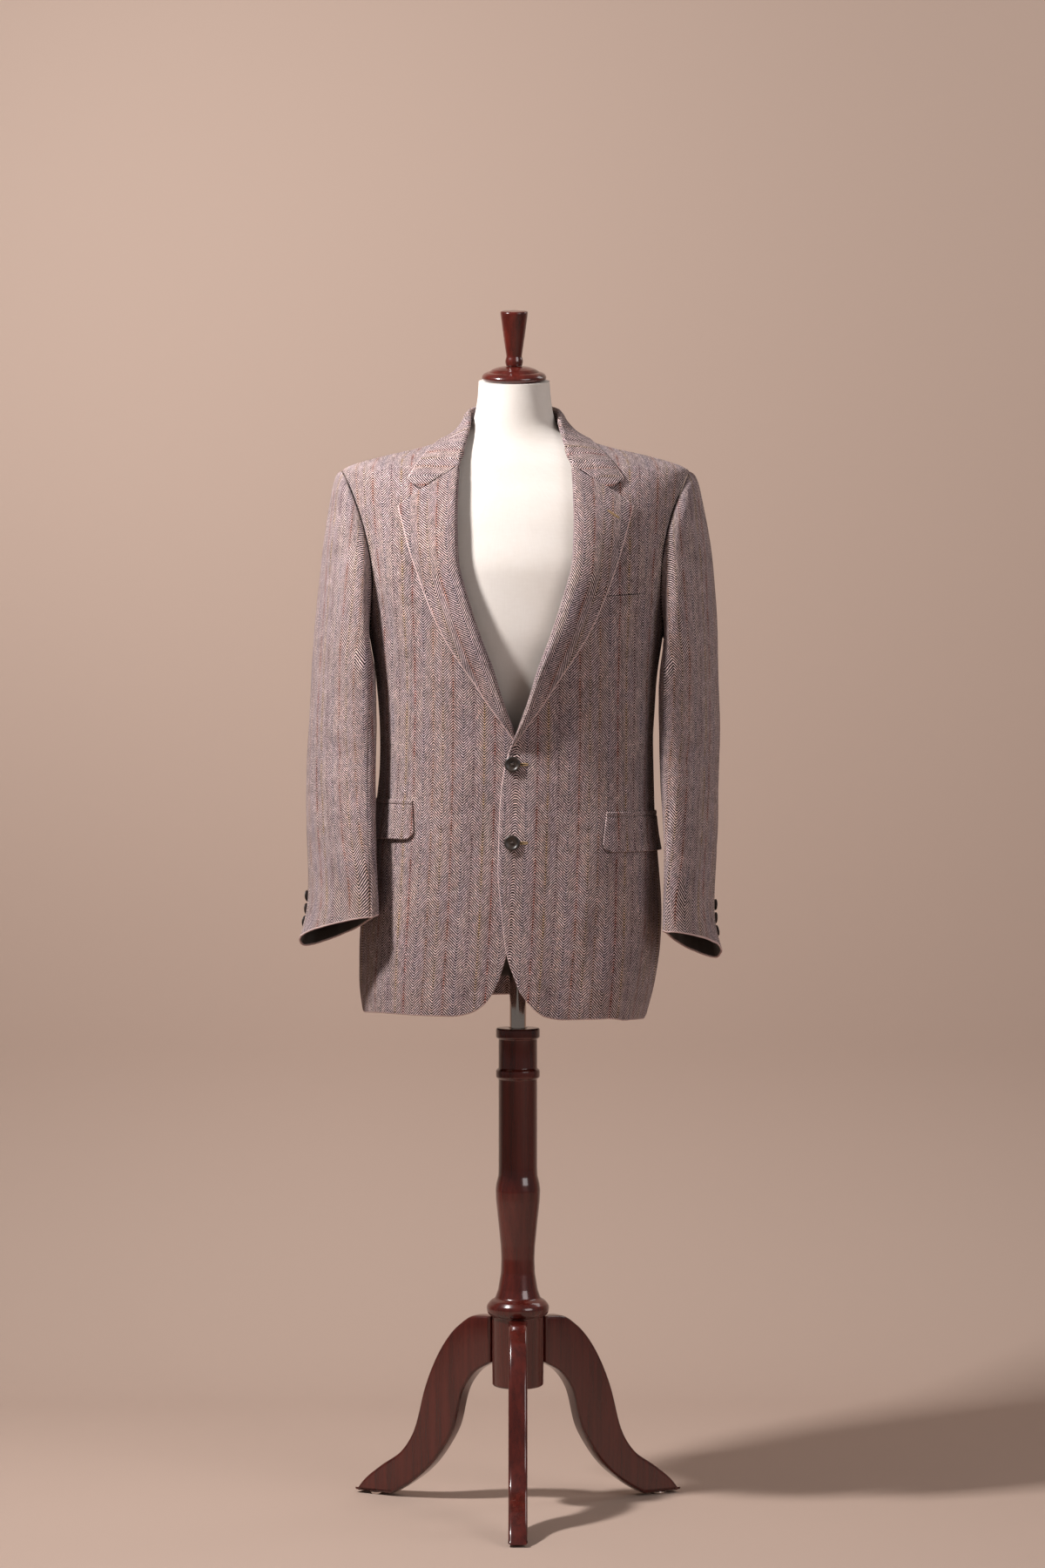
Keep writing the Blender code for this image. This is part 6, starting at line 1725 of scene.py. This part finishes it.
def blank(name, points, faces):
    """A plain closed solid for the button's boolean cuts."""
    mesh = bpy.data.meshes.new(name)
    mesh.from_pydata(points.tolist(), [], faces)
    turn_outwards(mesh)
    return put(name, mesh)


def button_mesh():
    """A dished horn button with its four holes cut through."""
    body = blank("button_blank", *lathe(rounded(BUTTON_FACE, 0.0008), 72))
    holes = []
    for k in range(4):
        angle = math.radians(45 + 90 * k)
        points, faces = lathe(((BUTTON_HOLE, 0.006), (BUTTON_HOLE, -0.002)), 20)
        middle = (BUTTON_HOLE_AT * math.cos(angle), BUTTON_HOLE_AT * math.sin(angle), 0.0)
        tool = blank(f"hole_{k}", points + middle, faces)
        cut = body.modifiers.new(f"cut_{k}", "BOOLEAN")
        cut.operation = "DIFFERENCE"
        cut.object = tool
        holes.append(tool)
    ready = body.evaluated_get(bpy.context.evaluated_depsgraph_get())
    mesh = bpy.data.meshes.new_from_object(ready)
    for thing in holes + [body]:
        bpy.data.objects.remove(thing, do_unlink=True)
    points = np.array([v.co for v in mesh.vertices])
    faces = [list(p.vertices) for p in mesh.polygons]
    return points, faces


BUTTON_POINTS, BUTTON_FACES = button_mesh()


def tube(line, radius, sides=8):
    """Points and faces of a round thread along an open line."""
    line = np.asarray(line, float)
    along = unit(np.gradient(line, axis=0))
    side = unit(np.cross(along, (0.13, 0.31, 0.94)))
    other = np.cross(along, side)
    angle = np.linspace(0, 2 * math.pi, sides, endpoint=False)[None, :, None]
    radius = np.broadcast_to(radius, len(line))[:, None, None]
    rings = line[:, None] + radius * (side[:, None] * np.cos(angle)
                                      + other[:, None] * np.sin(angle))
    faces = bands(len(line), sides)
    faces += [list(range(sides)), [len(line) * sides - 1 - k for k in range(sides)]]
    return rings.reshape(-1, 3), faces


def merged(parts):
    """One list of points and faces from several."""
    points, faces, start = [], [], 0
    for some, corners in parts:
        points.append(np.asarray(some))
        faces += [[k + start for k in face] for face in corners]
        start += len(some)
    return np.concatenate(points), faces


STRAND_RADIUS = 0.00030    # of a button's threads, and half their distance
STRAND_APART = 0.00028
SHANK_RADIUS = 0.0014


def button_thread():
    """Crossed threads through the four holes, and the shank behind."""
    parts = []
    for k in (0, 1):
        a = math.radians(45 + 90 * k)
        end = BUTTON_HOLE_AT * np.array([math.cos(a), math.sin(a)])
        for shift in (-STRAND_APART, STRAND_APART):
            off = shift * np.array([-math.sin(a), math.cos(a)])
            t = np.linspace(-1, 1, 13)
            lift = 0.0029 + 0.0004 * k - 0.0016 * np.clip(np.abs(t) - 0.75, 0, 1) / 0.25
            line = np.stack([end[0] * t + off[0], end[1] * t + off[1], lift], -1)
            parts.append(tube(line, STRAND_RADIUS, 6))
    shank = [(0.00001, 0.0, z) for z in np.linspace(-0.0014, 0.0006, 5)]
    parts.append(tube(shank, SHANK_RADIUS, 10))
    return merged(parts)


THREAD_POINTS, THREAD_FACES = button_thread()


def make_button(name, node, point, outward, size, spin, thread):
    """A button at a place on the cloth, with its thread."""
    axes = frame_at(outward)
    button, stitches = (placed(points * size, turn=spin) @ axes.T + point
                        for points in (BUTTON_POINTS, THREAD_POINTS))
    piece = add_mesh(name, button, BUTTON_FACES, (HORN,), sharp=38)
    dressed(piece, "form", "horn", node)
    stitch = add_mesh(name + "_thread", stitches, THREAD_FACES, (thread,))
    dressed(stitch, "form", "tweed")


STITCH_HALF_WIDTH = 0.00075        # of a buttonhole's rim
STITCH_HALF_HEIGHT = 0.00055
HOLE_LENGTH = 0.0245       # of the front buttonholes, and of the lapel's
HOLE_WIDTH = 0.0026
HOLE_SET_OUT = 0.0075      # from the button's middle to the hole's
LAPEL_HOLE_LENGTH = 0.0170
LAPEL_HOLE_WIDTH = 0.0016
HOLE_LIFT = 0.0004         # of the rims over the cloth


def buttonhole(name, point, outward, way, length, width, thread, slit=True):
    """A worked hole: a low rim of close stitches round a dark sheet, painted shade inside its slit.
    """
    outward = unit(outward)
    way = square_to(way, outward)
    cross = np.cross(outward, way)
    t = np.linspace(0, 2 * math.pi, 181)[:-1]
    half, narrow = length / 2, width / 2
    x = np.clip(np.cos(t) * half * 1.12, -half, half)
    y = np.sign(np.sin(t)) * np.abs(np.sin(t)) ** 0.6 * narrow
    line = point + x[:, None] * way + y[:, None] * cross
    centre = np.stack([way * a + cross * b for a, b in zip(x, y)])
    along = unit(np.roll(line, -1, axis=0) - np.roll(line, 1, axis=0))
    side = np.cross(along, outward)
    knots = 1 + 0.22 * np.sin(np.arange(len(t)) * 2 * math.pi / 3.0)
    angle = np.linspace(0, 2 * math.pi, 8, endpoint=False)
    rings = [line + (side * math.cos(a) * STITCH_HALF_WIDTH
                     + outward * (math.sin(a) * STITCH_HALF_HEIGHT)) * knots[:, None]
             for a in angle]
    points = np.stack(rings, axis=1).reshape(-1, 3)
    n = len(t)
    ring = add_mesh(name, points, bands(n, len(angle), closed=True), (thread,))
    dressed(ring, "form", "tweed")
    if slit:
        # Painted shade: a dark sheet inside the slit.
        inner = point + centre * 0.86 + outward * 0.0002
        lower = inner - outward * 0.0006
        faces = [list(range(n)), [n + k for k in range(n - 1, -1, -1)]]
        faces += [[k, n + k, n + (k + 1) % n, (k + 1) % n] for k in range(n)]
        dark = add_mesh(name + "_slit", np.concatenate([inner, lower]), faces, (SLIT_PAINTED_SHADE,))
        dressed(dark, "form", "tweed")


def make_buttons():
    for number, (x, z) in enumerate(FRONT_BUTTONS, 1):
        point, outward = front_places(np.array(x), np.array(z), 1, REST_GAP + BUTTON_SEAT)
        make_button(f"horn_front_{number}", f"button_front_{number}", point, outward, 1.0,
                    0.35 * number, BROWN_THREAD)
        place, outward = front_places(np.array(x + HOLE_SET_OUT), np.array(z - 0.0002), 1,
                                      HOLE_LIFT)
        buttonhole(f"hole_front_{number}", place, outward, np.array([1.0, 0.0, 0.0]),
                   HOLE_LENGTH, HOLE_WIDTH, GOLD_THREAD)
    for side, word in SIDES:
        rows = SLEEVE_LEFT if side > 0 else SLEEVE_RIGHT
        for number, place in enumerate(CUFF_BUTTON_ROW, 1):
            row = row_above_cuff(rows, place)
            near = [sleeve_ring(row, 1 - CUFF_BUTTON_LOOP + step, side)
                    for step in (-0.01, 0, 0.01)]
            above = sleeve_ring(row_above_cuff(rows, place + 0.1), 1 - CUFF_BUTTON_LOOP, side)
            outward = np.cross(near[2] - near[0], above - near[1])
            outward *= np.sign(outward[0] * side) / np.linalg.norm(outward)
            make_button(f"horn_cuff_{word}_{number}", f"cuff_button_{word}_{number}",
                        near[1] + outward * (REST_GAP + BUTTON_SEAT), outward,
                        CUFF_BUTTON_RADIUS / FRONT_BUTTON_RADIUS, 0.5 * number, BROWN_THREAD)


LAPEL_HOLE = (0.1235, 1.3080)      # x and height of the lapel's buttonhole, and its way
LAPEL_HOLE_WAY = (0.85, 0.0, -0.52)


def make_lapel_hole():
    place, outward = on_lapel(*LAPEL_HOLE)
    buttonhole("hole_lapel", place, outward, np.array(LAPEL_HOLE_WAY), LAPEL_HOLE_LENGTH,
               LAPEL_HOLE_WIDTH, GOLD_THREAD, False)


# ---------------------------------------------------------------- form and stand
FORM_FOOT = 0.012          # height of the closer rings at the torso's foot


def make_form():
    """Closed torso: rings from its flat underside to the sloping top of its neck."""
    low, high = FORM.rows[0, 0], FORM.rows[-1, 0]
    z = np.concatenate([np.linspace(low, low + FORM_FOOT, 6),
                        np.linspace(low + FORM_FOOT, high, 130)[1:]])
    around = np.linspace(-2, 2, 144, endpoint=False)
    points = body_ring(FORM, around[None, :] + 0 * z[:, None], z[:, None] + 0 * around[None, :])
    slope = math.tan(math.radians(NECK_TILT)) / (NECK_TOP_Z - NECK_SLOPE_FROM)
    points[..., 2] += points[..., 1] * slope * np.maximum(points[..., 2] - NECK_SLOPE_FROM, 0)
    rows, columns = points.shape[:2]
    faces = bands(rows, columns) + fans(rows, columns, rows * columns)
    points = np.concatenate([points.reshape(-1, 3), points[[0, -1]].mean(axis=1)])
    piece = add_mesh("form_linen", points, faces, (LINEN,), sharp=40)
    dressed(piece, "form", "linen", "form")


def placed(points, tilt=0.0, turn=0.0, place=(0.0, 0.0, 0.0)):
    """Points tilted about X, turned about Z and moved."""
    c, s = math.cos(tilt), math.sin(tilt)
    tip = np.array([[1, 0, 0], [0, c, -s], [0, s, c]])
    c, s = math.cos(turn), math.sin(turn)
    spin = np.array([[c, -s, 0], [s, c, 0], [0, 0, 1]])
    return np.asarray(points) @ tip.T @ spin.T + place


def make_turned(name, node, body, slot, profile, finish, rounding=0.0012, segments=112, **where):
    points, faces = lathe(rounded(profile, rounding, 4), segments)
    piece = add_mesh(name, placed(points, **where), faces, (finish,), sharp=42)
    dressed(piece, body, slot, node)


NEAR_AXIS = 0.0002         # radius at which a turned profile ends, beside the axis
LEG_SOFT = 0.0040          # radius of the legs' rounded arrises
LEG_POINTS = 100


def capped(profile):
    """A turned profile run in to the axis at both ends."""
    return ((NEAR_AXIS, profile[0][1]),) + profile + ((NEAR_AXIS, profile[-1][1]),)


def make_leg(name, angle):
    """Plank leg with rounded arrises, its side outline lying in XZ."""
    outline = np.concatenate([path(LEG_OUTER, LEG_POINTS), path(LEG_INNER, LEG_POINTS)])
    along = np.roll(outline, -1, axis=0) - np.roll(outline, 1, axis=0)
    inward = unit(np.stack([along[:, 1], -along[:, 0]], -1))
    flat = LEG_THICK / 2 - LEG_SOFT
    arc = np.radians(np.linspace(0, 90, 7))
    section = [(LEG_SOFT * (1 - math.sin(a)), -flat - LEG_SOFT * math.cos(a)) for a in arc]
    section += [(set_in, -y) for set_in, y in section[::-1]]
    layers = [np.stack([outline[:, 0] + inward[:, 0] * set_in, 0 * outline[:, 0] + y,
                        outline[:, 1] + inward[:, 1] * set_in], -1) for set_in, y in section]
    n, last = len(outline), (len(layers) - 1) * len(outline)
    faces = bands(len(layers), n)
    for j in range(LEG_POINTS - 1):
        quad = [j, n - 1 - j, n - 2 - j, j + 1]
        faces += [quad, [last + k for k in quad[::-1]]]
    angle = math.radians(angle)
    piece = add_mesh(f"wood_{name}", placed(np.concatenate(layers), turn=angle), faces,
                     (MAHOGANY,), sharp=42)
    dressed(piece, "stand", "mahogany", name)
    reach = (GLIDE_REACH * math.cos(angle), GLIDE_REACH * math.sin(angle), 0.0)
    glide = name.replace("leg", "glide")
    profile = capped(((GLIDE_RADIUS, GLIDE_HEIGHT), (GLIDE_RADIUS, 0.0)))
    make_turned(f"chrome_{glide}", glide, "stand", "chrome", profile, CHROME, 0.0006, 48,
                place=reach)


def make_stand():
    neck = dict(tilt=math.radians(NECK_TILT), place=(NECK_X, 0.0, NECK_TOP_Z))
    make_turned("wood_neck_cap", "neck_cap", "form", "mahogany", capped(NECK_CAP), MAHOGANY,
                0.0010, **neck)
    make_turned("wood_finial", "finial", "form", "mahogany", capped(FINIAL), MAHOGANY, 0.0016,
                **neck)
    socket = capped(SOCKET + ((BORE_RADIUS, SOCKET[-1][1]), (BORE_RADIUS, SOCKET_TOP)))
    make_turned("wood_form_socket", "form_socket", "form", "mahogany", socket, MAHOGANY)
    rod = capped(((ROD_RADIUS, ROD_TOP), (ROD_RADIUS, ROD_BOTTOM)))
    make_turned("chrome_rod", "rod", "rod", "chrome", rod, CHROME)
    make_column()
    for name, angle in LEG_TURNS.items():
        make_leg(name, angle)


def make_column():
    """The hollow turned column: its outer profile closed down its bore."""
    line = np.array(COLUMN + ((BORE_RADIUS, COLUMN[-1][1]), (BORE_RADIUS, COLUMN[0][1]), COLUMN[0]))
    points = revolved(rounded(line, 0.0022, 5), 128)[:-1]
    faces = bands(*points.shape[:2], closed=True)
    piece = add_mesh("wood_column", points.reshape(-1, 3), faces, (MAHOGANY,), sharp=42)
    dressed(piece, "stand", "mahogany", "column")


# ---------------------------------------------------------------- camera, stage and light
CAMERA_AWAY = 5.4
CAMERA_HEIGHT = 1.0775
IMAGE_SIZE = (1200, 1800)
FOCAL_PIXELS = 4696.0
HORIZON = 795.0            # image row of the camera's height
AXIS_COLUMN = 594.7        # image column of the stand's axis


def make_camera():
    data = bpy.data.cameras.new("camera")
    data.sensor_fit = "VERTICAL"
    data.sensor_height = 36.0
    data.lens = FOCAL_PIXELS * data.sensor_height / IMAGE_SIZE[1]
    data.shift_x = (IMAGE_SIZE[0] / 2 - AXIS_COLUMN) / IMAGE_SIZE[1]
    data.shift_y = -(IMAGE_SIZE[1] / 2 - HORIZON) / IMAGE_SIZE[1]
    data.clip_start, data.clip_end = 0.1, 60.0
    camera = put("camera", data)
    camera.location = (AXIS_X, AXIS_Y - CAMERA_AWAY, CAMERA_HEIGHT)
    camera.rotation_euler = (math.pi / 2, 0.0, 0.0)
    bpy.context.scene.camera = camera


STAGE_FLOOR = (0.450, 0.335, 0.275)
STAGE_HALF = 6.0           # half the floor's width
STAGE_CURVE = 0.5          # radius of the bend up into the backdrop
BACKDROP_AT = 1.35         # depth at which the backdrop stands


def seen_from_front(surface):
    """Leaves out a surface's back, so that the backdrop hides nothing from behind."""
    nodes, links = surface.node_tree.nodes, surface.node_tree.links
    out = next(node for node in nodes if node.type == "OUTPUT_MATERIAL")
    front = out.inputs["Surface"].links[0].from_socket
    mix = nodes.new("ShaderNodeMixShader")
    links.new(nodes.new("ShaderNodeNewGeometry").outputs["Backfacing"], mix.inputs[0])
    links.new(front, mix.inputs[1])
    links.new(nodes.new("ShaderNodeBsdfTransparent").outputs[0], mix.inputs[2])
    links.new(mix.outputs[0], out.inputs["Surface"])
    return surface


def make_stage():
    """A pale floor that curves up into a plain backdrop."""
    curve = [(-STAGE_HALF, 0.0), (-2.0, 0.0)]
    curve += [(BACKDROP_AT - STAGE_CURVE + STAGE_CURVE * math.sin(a),
               STAGE_CURVE - STAGE_CURVE * math.cos(a)) for a in np.linspace(0, math.pi / 2, 24)]
    curve += [(BACKDROP_AT, 2.0), (BACKDROP_AT, 5.0)]
    points = [(x, y, z - 0.0002) for y, z in curve for x in (-STAGE_HALF, STAGE_HALF)]
    faces = [[2 * k, 2 * k + 1, 2 * k + 3, 2 * k + 2] for k in range(len(curve) - 1)]
    mesh = bpy.data.meshes.new("stage")
    mesh.from_pydata(points, [], faces)
    mesh.materials.append(seen_from_front(plain_finish("stage_pale", STAGE_FLOOR, 0.85)))
    mesh.shade_smooth()
    put("stage", mesh)


# Soft boxes: name, place, what it looks at, size, watts, colour.
LIGHTS = (
    ("key", (-1.23, -0.68, 2.43), (0.0, 0.0, 1.15), (0.20, 0.20), 76.0, (1.0, 0.975, 0.965)),
    ("fill", (2.7, -2.9, 2.3), (0.0, 0.0, 1.20), (2.0, 2.0), 52.0, (1.0, 0.945, 0.945)),
    ("rim", (1.9, 0.9, 2.6), (0.0, 0.0, 1.10), (0.8, 1.2), 8.0, (1.0, 0.97, 0.96)),
    ("back", (-0.9, 3.3, 2.4), (0.0, 0.0, 1.10), (2.0, 2.0), 34.0, (1.0, 0.97, 0.96)))
SKY = (0.96, 0.90, 0.86)
SKY_STRENGTH = 0.165
SKY_SEEN = (0.480, 0.350, 0.285)   # the room beyond the backdrop


def make_lights():
    bpy.context.scene.view_settings.view_transform = "Standard"
    for name, place, aim, size, power, colour in LIGHTS:
        data = bpy.data.lights.new(name, "AREA")
        data.shape = "RECTANGLE"
        data.size, data.size_y = size
        data.energy = power
        data.color = colour
        lamp = put(name, data)
        lamp.location = place
        way = Vector(aim) - Vector(place)
        lamp.rotation_euler = way.to_track_quat("-Z", "Y").to_euler()
    world = bpy.data.worlds.new("room")
    world.use_nodes = True
    nodes, links = world.node_tree.nodes, world.node_tree.links
    seen = nodes.new("ShaderNodeMix")
    seen.data_type = "RGBA"
    seen.inputs[6].default_value = (*(SKY_STRENGTH * part for part in SKY), 1.0)
    seen.inputs[7].default_value = (*SKY_SEEN, 1.0)
    links.new(nodes.new("ShaderNodeLightPath").outputs["Is Camera Ray"], seen.inputs[0])
    links.new(seen.outputs[2], nodes["Background"].inputs["Color"])
    bpy.context.scene.world = world


make_camera()
make_stage()
make_lights()
make_form()
make_bodies()
make_sleeves()
make_lapels()
make_collar()
make_pockets()
make_welt()
make_lining()
make_buttons()
make_lapel_hole()
make_stand()
